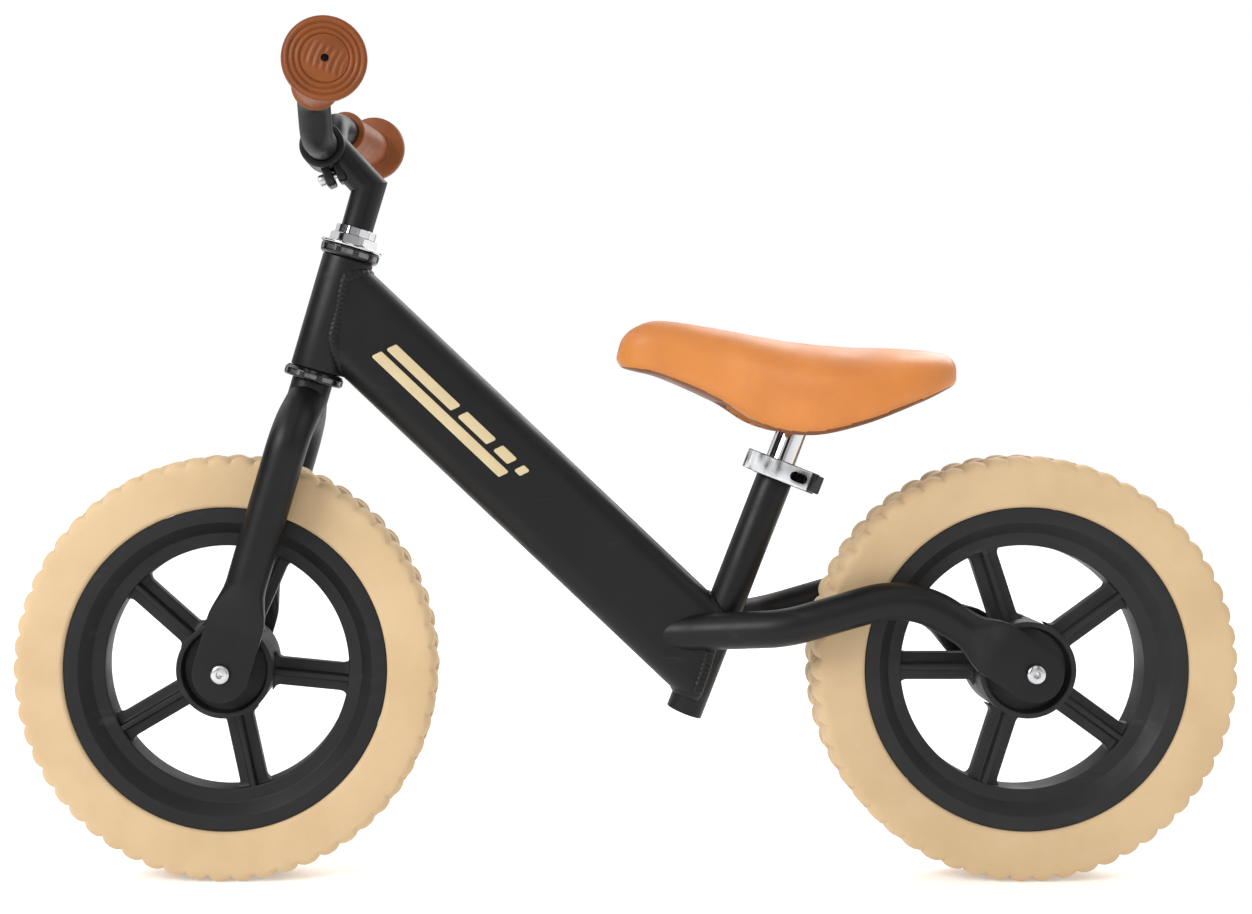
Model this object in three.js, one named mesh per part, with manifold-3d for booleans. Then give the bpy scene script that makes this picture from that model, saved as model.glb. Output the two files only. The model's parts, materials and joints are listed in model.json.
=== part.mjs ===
// Child's balance bike: steel frame and fork, moulded five-spoke wheels, foam tyres, padded saddle.
// Millimetres. The origin is on the ground, midway between the axles, in the middle plane.
// +Z is up, -Y is the front of the bike and +X is the rider's left.
import * as THREE from 'three';
import { mergeVertices } from 'three/addons/utils/BufferGeometryUtils.js';
import Module from 'manifold-3d';

const wasm = await Module();
wasm.setup();

// Clearances
const GAP = 0.3;
const RUNNING_GAP = 0.2;

// Fineness of round pieces and of bends
const RIM_ROUND = 40;
const LARGE_ROUND = 20;
const MEDIUM_ROUND = 14;
const SMALL_ROUND = 8;
const TUBE_SIDES = 10;
const BEND_STEP = THREE.MathUtils.degToRad(18);

// Wheels
const TYRE_DIAMETER = 295;
const WHEELBASE = 555;
const TYRE_DEPTH = 35.5;
const TYRE_WIDTH = 44;
const KNOB_COUNT = 57;
const KNOB_DEPTH = 3;
const TYRE_SHOULDER = 7;
const RIM_WIDTH = 40;
const RIM_BAND = 27;
const RIM_WALL = 4;
const RIM_CHANNEL_DEPTH = 9;
const SPOKE_COUNT = 5;
const SPOKE_WIDTH = 19;
const SPOKE_THICKNESS = 9;
const SPOKE_RIB_WIDTH = 3.4;
const SPOKE_RIB_THICKNESS = 20;
const HUB_RADIUS = 33.5;
const HUB_RECESS_RADIUS = 29.7;
const HUB_RECESS_DEPTH = 9;
const HUB_WIDTH = 46;
const BEARING_RADIUS = 14;
const BEARING_WIDTH = 8;
const FRONT_SPOKE_ANGLE = THREE.MathUtils.degToRad(-5.6);
const REAR_SPOKE_ANGLE = THREE.MathUtils.degToRad(36);

// Axles and the plates that hold them
const AXLE_RADIUS = 6;
const DROPOUT_SPACING = 67;
const DROPOUT_THICKNESS = 5;
const DROPOUT_RADIUS = 19.8;
const AXLE_BOLT_SHANK_RADIUS = 3;
const AXLE_BOLT_SHANK_LENGTH = 22;
const AXLE_BOLT_HEAD_RADIUS = 6.4;
const AXLE_BOLT_HEAD_HEIGHT = 3.6;
const SOCKET_RADIUS = 2.3;
const SPACER_RADIUS = 9;

// Head tube and headset
const HEAD_TILT = THREE.MathUtils.degToRad(16.3);
const HEAD_TUBE_LENGTH = 81;
const HEAD_TUBE_ROOM = 2.3;
const HEAD_TUBE_WALL = 3;
const CUP_BEYOND_STEERER = 8.3;
const CUP_HEIGHT = 7.6;
const CUP_SKIRT = 8;
const CUP_ROOM = 0.8;
const CUP_WALL = 1.8;
const CUP_FLOOR = 2.4;
const RACE_HEIGHT = 1.2;
const WASHER_OVERHANG = 0.8;
const WASHER_HEIGHT = 2;
const HEADSET_NUT_WALL = 4.5;
const HEADSET_NUT_HEIGHT = 6;
const LOCK_NUT_WALL = 2;
const LOCK_NUT_HEIGHT = 5.4;

// Fork
const STEERER_RADIUS = 12.7;
const STEERER_WALL = 1.3;
const CROWN_CLEARANCE = 36.6;
const CROWN_HEIGHT = 24;
const CROWN_WALL = 1.6;
const FORK_LEG_RADIUS = 14;
const FORK_LEG_WALL = 1.8;
const FORK_LEG_OFFSET = 40;
const FORK_BEND_RADIUS = 34;
const FORK_PRESSING_START = 64;
const FORK_PRESSING_END = 32;
const FORK_PRESSED_SHARE = 0.13;
const DROPOUT_STRAIGHT = 34;

// Stem and handlebar
const QUILL_INSERTION = 62;
const QUILL_TOP = 59.5;
const STEM_REACH = 38;
const STEM_RISE = 70.5;
const STEM_ARM_RADIUS = 11.5;
const STEM_ARM_ROOT = 47;
const CLAMP_RADIUS = 15.8;
const CLAMP_WIDTH = 36;
const CLAMP_EAR_WIDTH = 22;
const CLAMP_EAR_REACH = 27;
const CLAMP_EAR_THICKNESS = 5;
const CLAMP_SLOT = 2.6;
const CLAMP_SLOT_ANGLE = THREE.MathUtils.degToRad(-52);
const PINCH_BOLT_RADIUS = 2.5;
const PINCH_BOLT_REACH = 21;
const PINCH_BOLT_HEAD_RADIUS = 4.4;
const PINCH_BOLT_HEAD_HEIGHT = 4.4;
const PINCH_NUT_RADIUS = 4.6;
const PINCH_NUT_HEIGHT = 3.8;
const WEDGE_LENGTH = 16;
const EXPANDER_RADIUS = 3.5;
const BAR_RADIUS = 11.1;
const BAR_WALL = 1.6;
const BAR_WIDTH = 378;
const BAR_CENTRE_HALF = 34;
const BAR_BEND_WIDTH = 16;
const BAR_RISE = 26;
const BAR_SWEEP = THREE.MathUtils.degToRad(9.6);
const BAR_BEND_RADIUS = 22;
const GRIP_LENGTH = 97;
const GRIP_WALL = 2.9;
const GRIP_INNER_FLANGE_HEIGHT = 2;
const GRIP_OUTER_FLANGE_RADIUS = 25.5;
const GRIP_FLANGE_WIDTH = 9;
const GRIP_END_WALL = 5;
const GRIP_END_HOLE_RADIUS = 2.4;

// Frame tubes
const DOWN_TUBE_DEPTH = 67;
const DOWN_TUBE_WIDTH = 34;
const DOWN_TUBE_CORNER = 14;
const DOWN_TUBE_WALL = 1.6;
const DOWN_TUBE_HEAD_DROP = 32.2;
const DOWN_TUBE_SEAT_RISE = 43.1;
const SEAT_TILT = THREE.MathUtils.degToRad(21.3);
const SEAT_TUBE_RADIUS = 12.7;
const SEAT_TUBE_WALL = 1.4;
const SEAT_TUBE_LENGTH = 188.5;
const SEAT_TUBE_BEFORE_TYRE = 87.8;
const SEAT_TUBE_BELOW_AXLE = 32.7;
const STAY_RADIUS = 12.7;
const STAY_WALL = 1.6;
const STAY_OFFSET = 40;
const STAY_ROOT_RISE = 59;
const STAY_ROOT_AHEAD = 40;
const STAY_SPREAD_BEHIND = 44;
const STAY_SPREAD_RISE = 9;
const STAY_CREST_AHEAD = 85.6;
const STAY_CREST_RISE = 55.8;
const STAY_CREST_BEND = 66;
const STAY_SPREAD_BEND = 60;
const STAY_PRESSING_START = 58;
const STAY_PRESSING_END = 30;
const STAY_PRESSED_SHARE = 0.14;

// Seat clamp
const COLLAR_RADIUS = 16.4;
const COLLAR_HEIGHT = 14.4;
const COLLAR_BELOW_TOP = 13.4;
const COLLAR_SLOT = 3;
const EAR_WIDTH = 4.6;
const EAR_REACH = 28;
const EAR_HEIGHT = 12;
const SKEWER_REACH = 22.4;
const SKEWER_RADIUS = 2.5;
const CLAMP_WASHER_RADIUS = 5.6;
const CAM_OFFSET = 16.6;
const CAM_RADIUS = 6.9;
const CAM_HEIGHT = 12.6;
const PIN_RADIUS = 2.2;
const LEVER_THICKNESS = 3.2;
const LEVER_FRONT_REACH = 25.6;
const LEVER_SWING = THREE.MathUtils.degToRad(150);
const LEVER_WINDOW_LENGTH = 12;
const LEVER_WINDOW_HEIGHT = 6.6;
const SKEWER_NUT_RADIUS = 6.6;
const SKEWER_NUT_LENGTH = 7;

// Seatpost and saddle
const POST_RADIUS = 11.1;
const POST_WALL = 1.5;
const POST_INSERTION = 78;
const FLANGE_LENGTH = 62;
const FLANGE_WIDTH = 40;
const FLANGE_THICKNESS = 4;
const SADDLE_BOLT_SPACING = 44;
const SADDLE_BOLT_RADIUS = 2.6;
const SADDLE_BOLT_HEAD_RADIUS = 5;
const SADDLE_BOLT_HEAD_HEIGHT = 3;
const SADDLE_RECESS_DEPTH = 26;
const SADDLE_RIM = 12;
const SADDLE_BASE_THICKNESS = 5;
const BASE_ROOM = 1.2;
const SADDLE_BEHIND_CLAMP = 14.5;
const SADDLE_ABOVE_CLAMP = 22;

// The saddle's outline from nose to tail, measured from its lowest point in the middle plane:
// distance along, top height, bottom height, half width.
const SADDLE_STATIONS = [
  [-128, 57.5, 55.5, 3],
  [-124, 70.5, 50, 12],
  [-114, 79, 47, 20],
  [-97, 83, 42.5, 25],
  [-60, 77.5, 26, 32],
  [-30, 71.5, 7, 44],
  [0, 66.5, 0, 56],
  [32, 63.5, 7, 65],
  [66, 63, 21, 67],
  [92, 61, 33, 54],
  [102, 56, 38, 34],
  [105, 47.5, 46, 6],
];

// Finishes
const PAINT = { color: 0x242424, roughness: 0.42, metalness: 0.3 };
const BLACK_PLASTIC = { color: 0x2b2b2c, roughness: 0.55, metalness: 0 };
const BLACK_STEEL = { color: 0x151515, roughness: 0.3, metalness: 0.8 };
const CHROME = { color: 0xdcdde0, roughness: 0.12, metalness: 1 };
const ZINC = { color: 0xb4b6b8, roughness: 0.32, metalness: 1 };
const ALUMINIUM = { color: 0xcfd0d2, roughness: 0.28, metalness: 1 };
const TAN_FOAM = { color: 0xdec092, roughness: 0.85, metalness: 0 };
const BROWN_RUBBER = { color: 0xa05a2c, roughness: 0.75, metalness: 0 };
const ORANGE_LEATHER = { color: 0xe8904a, roughness: 0.55, metalness: 0 };

// Sizes and places that follow from the driving dimensions
const TYRE_RADIUS = TYRE_DIAMETER / 2;
const FRONT_AXLE_Y = -WHEELBASE / 2;
const REAR_AXLE_Y = WHEELBASE / 2;
const CROWN_BOTTOM = TYRE_RADIUS + CROWN_CLEARANCE;
const CROWN_TOP = CROWN_BOTTOM + CROWN_HEIGHT;
const HEAD_BOTTOM = CROWN_TOP + GAP + CUP_HEIGHT + GAP;
const HEAD_TOP = HEAD_BOTTOM + HEAD_TUBE_LENGTH;
const WASHER_BOTTOM = HEAD_TOP + GAP + CUP_HEIGHT + GAP;
const NUT_BOTTOM = WASHER_BOTTOM + WASHER_HEIGHT + GAP;
const LOCK_NUT_BOTTOM = NUT_BOTTOM + HEADSET_NUT_HEIGHT + GAP;
const STACK_TOP = LOCK_NUT_BOTTOM + LOCK_NUT_HEIGHT;
const DROPOUT_FACE = DROPOUT_SPACING / 2;
const DROPOUT_MIDDLE = DROPOUT_FACE + DROPOUT_THICKNESS / 2;
const SEAT_TUBE_FOOT_Y = REAR_AXLE_Y - TYRE_RADIUS - SEAT_TUBE_BEFORE_TYRE;
const SEAT_TUBE_HEIGHT = TYRE_RADIUS - SEAT_TUBE_BELOW_AXLE;
const HEAD_TUBE_RADIUS = STEERER_RADIUS + HEAD_TUBE_ROOM + HEAD_TUBE_WALL;
const CUP_RADIUS = STEERER_RADIUS + CUP_BEYOND_STEERER;
const WASHER_RADIUS = CUP_RADIUS + WASHER_OVERHANG;
const HEADSET_NUT_RADIUS = STEERER_RADIUS + HEADSET_NUT_WALL;
const LOCK_NUT_RADIUS = STEERER_RADIUS + LOCK_NUT_WALL;
const CROWN_RADIUS = STEERER_RADIUS + CROWN_WALL;
const QUILL_RADIUS = STEERER_RADIUS - STEERER_WALL - GAP;
const GRIP_RADIUS = BAR_RADIUS + GRIP_WALL;
const GRIP_INNER_FLANGE_RADIUS = GRIP_RADIUS + GRIP_INNER_FLANGE_HEIGHT;
const SADDLE_STATION_CURVES = saddleCurves();

// ---------------------------------------------------------------- solids

function signedVolume(positions, triangles) {
  const corner = (index) => new THREE.Vector3().fromArray(positions, index * 3);
  let volume = 0;
  for (let first = 0; first < triangles.length; first += 3) {
    const [a, b, c] = [0, 1, 2].map((step) => corner(triangles[first + step]));
    volume += a.dot(b.cross(c)) / 6;
  }
  return volume;
}

// A manifold solid of a closed geometry, its faces pointing out whichever way they were wound.
function solid(geometry) {
  const bare = geometry.clone();
  bare.deleteAttribute('normal');
  bare.deleteAttribute('uv');
  const merged = mergeVertices(bare, 1e-4);
  const positions = Float32Array.from(merged.attributes.position.array);
  const index = merged.index.array;
  const triangles = [];
  for (let first = 0; first < index.length; first += 3) {
    const [a, b, c] = [index[first], index[first + 1], index[first + 2]];
    if (a !== b && b !== c && c !== a) triangles.push(a, b, c);
  }
  if (signedVolume(positions, triangles) < 0) triangles.reverse();
  const mesh = new wasm.Mesh({
    numProp: 3,
    vertProperties: positions,
    triVerts: Uint32Array.from(triangles),
  });
  return new wasm.Manifold(mesh);
}

function join(...geometries) {
  return geometryOf(geometries.map(solid).reduce((whole, next) => whole.add(next)));
}

function cut(geometry, ...cutters) {
  return geometryOf(cutters.map(solid).reduce((whole, next) => whole.subtract(next), solid(geometry)));
}

function common(geometry, other) {
  return geometryOf(solid(geometry).intersect(solid(other)));
}

function geometryOf(manifold) {
  const mesh = manifold.getMesh();
  const geometry = new THREE.BufferGeometry();
  geometry.setAttribute('position', new THREE.BufferAttribute(new Float32Array(mesh.vertProperties), 3));
  geometry.setIndex(new THREE.BufferAttribute(new Uint32Array(mesh.triVerts), 1));
  geometry.computeVertexNormals();
  return geometry;
}

function moved(geometry, x, y, z) {
  return geometry.clone().translate(x, y, z);
}

function placed(geometry, matrix) {
  return geometry.clone().applyMatrix4(matrix);
}

function mirrored(geometry) {
  return geometryOf(solid(placed(geometry, new THREE.Matrix4().makeScale(-1, 1, 1))));
}

// A closed profile of [radius, height] points turned about Z. One that touches the axis is closed by it.
function turned(profile, segments) {
  const points = profile.map(([radius, height]) => new THREE.Vector2(radius, height));
  const onAxis = profile[0][0] === 0 && profile[profile.length - 1][0] === 0;
  if (!onAxis) points.push(points[0].clone());
  return new THREE.LatheGeometry(points, segments).rotateX(Math.PI / 2);
}

function ring(inner, outer, bottom, top, segments) {
  const bore = flatsAt(inner, segments);
  return turned([[bore, bottom], [outer, bottom], [outer, top], [bore, top]], segments);
}

// The corner radius of a many-sided bore whose flats lie on the given radius.
function flatsAt(radius, segments) {
  return radius / Math.cos(Math.PI / segments);
}

// A cutter for a round hole that is nowhere smaller than its radius.
function hole(radius, bottom, top, segments) {
  return rod(flatsAt(radius, segments), bottom, top, segments);
}

function rod(radius, bottom, top, segments) {
  const geometry = new THREE.CylinderGeometry(radius, radius, top - bottom, segments);
  return geometry.rotateX(Math.PI / 2).translate(0, 0, (bottom + top) / 2);
}

// The same shape with its Z axis turned to lie along X.
function alongX(geometry) {
  return geometry.clone().rotateY(Math.PI / 2);
}

// A straight bar between two points.
function bar(radius, from, to, segments) {
  const direction = to.clone().sub(from);
  const turn = new THREE.Quaternion().setFromUnitVectors(
    new THREE.Vector3(0, 0, 1), direction.clone().normalize());
  const matrix = new THREE.Matrix4().compose(from, turn, new THREE.Vector3(1, 1, 1));
  return placed(rod(radius, 0, direction.length(), segments), matrix);
}

function block(x0, x1, y0, y1, z0, z1) {
  const geometry = new THREE.BoxGeometry(x1 - x0, y1 - y0, z1 - z0);
  return geometry.translate((x0 + x1) / 2, (y0 + y1) / 2, (z0 + z1) / 2);
}

// A path through set stations, so that a swept tube has rings only where they are needed.
class StationPath extends THREE.Curve {
  constructor(stations) {
    super();
    this.stations = stations;
  }

  getPoint(t, target = new THREE.Vector3()) {
    const place = t * (this.stations.length - 1);
    const index = Math.min(Math.floor(place), this.stations.length - 2);
    return target.lerpVectors(this.stations[index], this.stations[index + 1], place - index);
  }

  getPointAt(t, target) {
    return this.getPoint(t, target);
  }

  getTangentAt(t, target = new THREE.Vector3()) {
    const last = this.stations.length - 1;
    const index = Math.round(t * last);
    const before = this.stations[Math.max(index - 1, 0)];
    const after = this.stations[Math.min(index + 1, last)];
    const here = this.stations[index];
    const arriving = here.clone().sub(before).normalize();
    const leaving = after.clone().sub(here).normalize();
    return target.copy(arriving).add(leaving).normalize();
  }

  getTangent(t, target) {
    return this.getTangentAt(t, target);
  }
}

// Straight runs with rounded corners. Each corner is [point, bend radius]; radius 0 is a stop on a straight.
function bentPath(start, corners, end) {
  const stops = [start, ...corners.map(([point]) => point), end];
  const stations = [start];
  corners.forEach(([point, radius], index) => {
    const back = stops[index].clone().sub(point).normalize();
    const onward = stops[index + 2].clone().sub(point).normalize();
    const turn = Math.PI - back.angleTo(onward);
    if (radius === 0) {
      stations.push(point);
      return;
    }
    const tangent = radius * Math.tan(turn / 2);
    const bendStart = point.clone().addScaledVector(back, tangent);
    const bendEnd = point.clone().addScaledVector(onward, tangent);
    const bend = new THREE.QuadraticBezierCurve3(bendStart, point, bendEnd);
    stations.push(...bend.getPoints(Math.max(2, Math.ceil(turn / BEND_STEP))));
  });
  stations.push(end);
  return new StationPath(stations);
}

// Stops spread evenly along a straight run, for the stretch that is pressed flat.
function stopsBetween(from, to, count) {
  return Array.from({ length: count }, (_, index) => (
    [from.clone().lerp(to, index / (count - 1)), 0]));
}

function circleShape(radius, segments, wall) {
  const outline = new THREE.Shape(circlePoints(radius, segments));
  if (wall) outline.holes.push(new THREE.Path(circlePoints(radius - wall, segments).reverse()));
  return outline;
}

function circlePoints(radius, segments) {
  return Array.from({ length: segments }, (_, index) => {
    const angle = (2 * Math.PI * index) / segments;
    return new THREE.Vector2(radius * Math.cos(angle), radius * Math.sin(angle));
  });
}

// A tube bent along a path: hollow when it has a wall, solid without one.
function sweptTube(path, radius, wall) {
  const shape = circleShape(radius, TUBE_SIDES, wall);
  return new THREE.ExtrudeGeometry(shape, { extrudePath: path, steps: path.stations.length - 1 });
}

// A flat outline in (y, z) given a thickness along X.
function plate(outline, x0, x1) {
  const geometry = new THREE.ExtrudeGeometry(outline, { depth: x1 - x0, bevelEnabled: false });
  const upright = new THREE.Matrix4().set(0, 0, 1, x0, 1, 0, 0, 0, 0, 1, 0, 0, 0, 0, 0, 1);
  return placed(geometry, upright);
}

// Squeezes a tube towards a thin plate: amountAt(vertex) is 0 where it stays round and 1 where it is flat.
function pressedFlat(geometry, tubeMiddle, plateMiddle, thinness, amountAt) {
  const pressed = geometry.clone();
  const position = pressed.attributes.position;
  const vertex = new THREE.Vector3();
  for (let index = 0; index < position.count; index += 1) {
    vertex.fromBufferAttribute(position, index);
    const flatX = plateMiddle + (vertex.x - tubeMiddle) * thinness;
    position.setX(index, THREE.MathUtils.lerp(vertex.x, flatX, amountAt(vertex)));
  }
  return pressed;
}

// ---------------------------------------------------------------- the object and its frames

const bike = new THREE.Group();

function group(parent) {
  const child = new THREE.Group();
  parent.add(child);
  return child;
}

function piece(parent, name, geometry, finish) {
  const mesh = new THREE.Mesh(geometry, new THREE.MeshStandardMaterial(finish));
  mesh.name = name;
  parent.add(mesh);
  return mesh;
}

// z runs up the steering axis from the front axle, y to the rear.
const steering = group(bike);
steering.position.set(0, FRONT_AXLE_Y, TYRE_RADIUS);
steering.rotation.x = -HEAD_TILT;
steering.updateMatrix();

// z runs up the seat tube from its open lower end, y to the rear.
const seating = group(bike);
seating.position.set(0, SEAT_TUBE_FOOT_Y, SEAT_TUBE_HEIGHT);
seating.rotation.x = -SEAT_TILT;
seating.updateMatrix();

function inFrame(frame, x, y, z) {
  return new THREE.Vector3(x, y, z).applyMatrix4(frame.matrix);
}

// ---------------------------------------------------------------- frame

function downTubeShape(grow, wall) {
  const outline = roundedOutline(
    DOWN_TUBE_WIDTH + 2 * grow, DOWN_TUBE_DEPTH + 2 * grow, DOWN_TUBE_CORNER + grow);
  const shape = new THREE.Shape(outline);
  if (wall) {
    const bore = roundedOutline(
      DOWN_TUBE_WIDTH - 2 * wall, DOWN_TUBE_DEPTH - 2 * wall, DOWN_TUBE_CORNER - wall);
    shape.holes.push(new THREE.Path(bore.reverse()));
  }
  return shape;
}

function roundedOutline(width, depth, corner) {
  const steps = 3;
  const points = [];
  [[1, 1], [-1, 1], [-1, -1], [1, -1]].forEach(([sideX, sideY], quarter) => {
    for (let step = 0; step <= steps; step += 1) {
      const angle = (quarter + step / steps) * (Math.PI / 2);
      points.push(new THREE.Vector2(
        sideX * (width / 2 - corner) + corner * Math.cos(angle),
        sideY * (depth / 2 - corner) + corner * Math.sin(angle)));
    }
  });
  return points;
}

// The down tube runs from the steering axis to the seat tube's axis, and past both for the cuts.
function downTubeRun(grow, wall) {
  const top = inFrame(steering, 0, 0, HEAD_TOP - DOWN_TUBE_HEAD_DROP);
  const foot = inFrame(seating, 0, 0, DOWN_TUBE_SEAT_RISE);
  const along = foot.clone().sub(top).normalize();
  const overrun = 40;
  const start = top.clone().addScaledVector(along, -overrun);
  const length = top.distanceTo(foot) + 2 * overrun;
  const across = new THREE.Vector3(1, 0, 0);
  const upward = along.clone().cross(across);
  const matrix = new THREE.Matrix4().makeBasis(across, upward, along).setPosition(start);
  const run = new THREE.ExtrudeGeometry(downTubeShape(grow, wall), { depth: length, bevelEnabled: false });
  return placed(run, matrix);
}

function behindHeadAxis() {
  return placed(block(-100, 100, 0, 600, -300, 500), steering.matrix);
}

function aheadOfSeatAxis() {
  return placed(block(-100, 100, -600, 0, -300, 500), seating.matrix);
}

function headTubeEnvelope() {
  return placed(hole(HEAD_TUBE_RADIUS + GAP, HEAD_BOTTOM - 60, HEAD_TOP + 60, LARGE_ROUND), steering.matrix);
}

// Room round the headset's cups at the two ends of the head tube.
function cupEnvelopes() {
  const radius = CUP_RADIUS + CUP_ROOM;
  return [
    placed(hole(radius, HEAD_BOTTOM - 60, HEAD_BOTTOM + CUP_ROOM, LARGE_ROUND), steering.matrix),
    placed(hole(radius, HEAD_TOP - CUP_ROOM, HEAD_TOP + 60, LARGE_ROUND), steering.matrix),
  ];
}

function seatTubeEnvelope() {
  return placed(hole(SEAT_TUBE_RADIUS + GAP, -30, SEAT_TUBE_LENGTH + 30, LARGE_ROUND), seating.matrix);
}

function makeDownTube() {
  let tube = common(downTubeRun(0, DOWN_TUBE_WALL), behindHeadAxis());
  tube = common(tube, aheadOfSeatAxis());
  piece(bike, 'down_tube', cut(tube, headTubeEnvelope(), ...cupEnvelopes(), seatTubeEnvelope()), PAINT);
}

// A stay leaves the foot of the down tube, spreads round the tyre, rises over a crest and ends in a plate.
function stayPath(flatFrom, flatTo) {
  const root = inFrame(seating, 0, 0, STAY_ROOT_RISE);
  const axle = new THREE.Vector3(STAY_OFFSET, REAR_AXLE_Y, TYRE_RADIUS);
  const start = new THREE.Vector3(2, root.y - STAY_ROOT_AHEAD, root.z);
  const spread = new THREE.Vector3(STAY_OFFSET, root.y + STAY_SPREAD_BEHIND, root.z + STAY_SPREAD_RISE);
  const crest = new THREE.Vector3(STAY_OFFSET, axle.y - STAY_CREST_AHEAD, axle.z + STAY_CREST_RISE);
  const run = crest.clone().sub(axle).normalize();
  const pressing = stopsBetween(axle.clone().addScaledVector(run, flatFrom),
    axle.clone().addScaledVector(run, flatTo), 5);
  return bentPath(start, [[spread, STAY_SPREAD_BEND], [crest, STAY_CREST_BEND], ...pressing], axle);
}

// A plate with a round end on the axle and straight sides towards direction, in (y, z) from the axle.
function dropoutOutline(direction, length) {
  const along = new THREE.Vector2(Math.cos(direction), Math.sin(direction));
  const across = new THREE.Vector2(-along.y, along.x).multiplyScalar(DROPOUT_RADIUS);
  const outline = new THREE.Shape();
  const shoulder = along.clone().multiplyScalar(length);
  outline.moveTo(shoulder.x + across.x, shoulder.y + across.y);
  outline.lineTo(across.x, across.y);
  outline.absarc(0, 0, DROPOUT_RADIUS, direction + Math.PI / 2, direction + 1.5 * Math.PI, false);
  outline.lineTo(shoulder.x - across.x, shoulder.y - across.y);
  return outline;
}

function boltHole() {
  return alongX(hole(AXLE_BOLT_SHANK_RADIUS + GAP, 0, 2 * DROPOUT_FACE, SMALL_ROUND));
}

function makeStays() {
  const axle = new THREE.Vector3(0, REAR_AXLE_Y, TYRE_RADIUS);
  const slope = Math.atan2(STAY_CREST_RISE, -STAY_CREST_AHEAD);
  const flatFrom = STAY_PRESSING_START;
  const flatTo = STAY_PRESSING_END;
  const tube = sweptTube(stayPath(flatFrom, flatTo), STAY_RADIUS, STAY_WALL);
  const pressed = pressedFlat(tube, STAY_OFFSET, DROPOUT_MIDDLE, STAY_PRESSED_SHARE, (vertex) => {
    const distance = Math.hypot(vertex.y - axle.y, vertex.z - axle.z);
    return THREE.MathUtils.smoothstep(flatFrom - distance, 0, flatFrom - flatTo);
  });
  const outline = dropoutOutline(slope, DROPOUT_STRAIGHT);
  const end = moved(plate(outline, DROPOUT_FACE, DROPOUT_FACE + DROPOUT_THICKNESS), 0, axle.y, axle.z);
  const inside = block(-20, GAP / 2, -600, 600, 0, 600);
  const body = cut(join(pressed, end), downTubeRun(GAP, 0), inside,
    seatTubeEnvelope(), moved(boltHole(), 0, axle.y, axle.z));
  const left = largestPart(body);
  piece(bike, 'rear_stay_left', left, PAINT);
  piece(bike, 'rear_stay_right', mirrored(left), PAINT);
}

// The largest of the separate bodies that a cut leaves.
function largestPart(geometry) {
  const parts = solid(geometry).decompose();
  return geometryOf(parts.reduce((best, next) => (next.volume() > best.volume() ? next : best)));
}

function makeHeadTube() {
  const bore = HEAD_TUBE_RADIUS - HEAD_TUBE_WALL;
  piece(steering, 'head_tube', ring(bore, HEAD_TUBE_RADIUS, HEAD_BOTTOM, HEAD_TOP, LARGE_ROUND), PAINT);
}

function makeSeatTube() {
  const bore = SEAT_TUBE_RADIUS - SEAT_TUBE_WALL;
  piece(seating, 'seat_tube', ring(bore, SEAT_TUBE_RADIUS, 0, SEAT_TUBE_LENGTH, LARGE_ROUND), PAINT);
}

// ---------------------------------------------------------------- headset

// A cup pressed into one end of the head tube, its ball track facing away from the tube.
function headsetCup() {
  const skirt = HEAD_TUBE_RADIUS - HEAD_TUBE_WALL - GAP;
  const bore = STEERER_RADIUS + 1;
  const trackWall = CUP_RADIUS - CUP_WALL;
  return turned([
    [bore, -CUP_SKIRT], [skirt, -CUP_SKIRT], [skirt, GAP], [CUP_RADIUS - 1.4, GAP], [CUP_RADIUS, GAP + 1.6],
    [CUP_RADIUS, GAP + CUP_HEIGHT], [trackWall, GAP + CUP_HEIGHT], [trackWall, GAP + CUP_FLOOR],
    [bore, GAP + CUP_FLOOR],
  ], LARGE_ROUND);
}

// The caged balls, as the ring that they sweep.
function ballRing() {
  const inner = STEERER_RADIUS + 2;
  const outer = CUP_RADIUS - CUP_WALL - GAP;
  const bottom = GAP + CUP_FLOOR + GAP;
  const top = bottom + 3;
  return turned([[inner, bottom], [outer, bottom], [outer, top], [inner, top]], LARGE_ROUND);
}

// The cone that the balls run on, facing the cup.
function coneRing() {
  const bore = STEERER_RADIUS + GAP;
  const bottom = GAP + CUP_FLOOR + 2 * GAP;
  const shoulder = GAP + CUP_HEIGHT - RACE_HEIGHT;
  const top = GAP + CUP_HEIGHT;
  return turned([
    [bore, bottom], [STEERER_RADIUS + 1.6, bottom], [STEERER_RADIUS + 1.6, shoulder],
    [CUP_RADIUS - CUP_WALL - GAP, shoulder], [CUP_RADIUS - CUP_WALL - GAP, top], [bore, top],
  ], LARGE_ROUND);
}

function nut(radius, sides, bottom, height) {
  return cut(rod(radius, bottom, bottom + height, sides),
    hole(STEERER_RADIUS + RUNNING_GAP, bottom - 1, bottom + height + 1, LARGE_ROUND));
}

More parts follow.
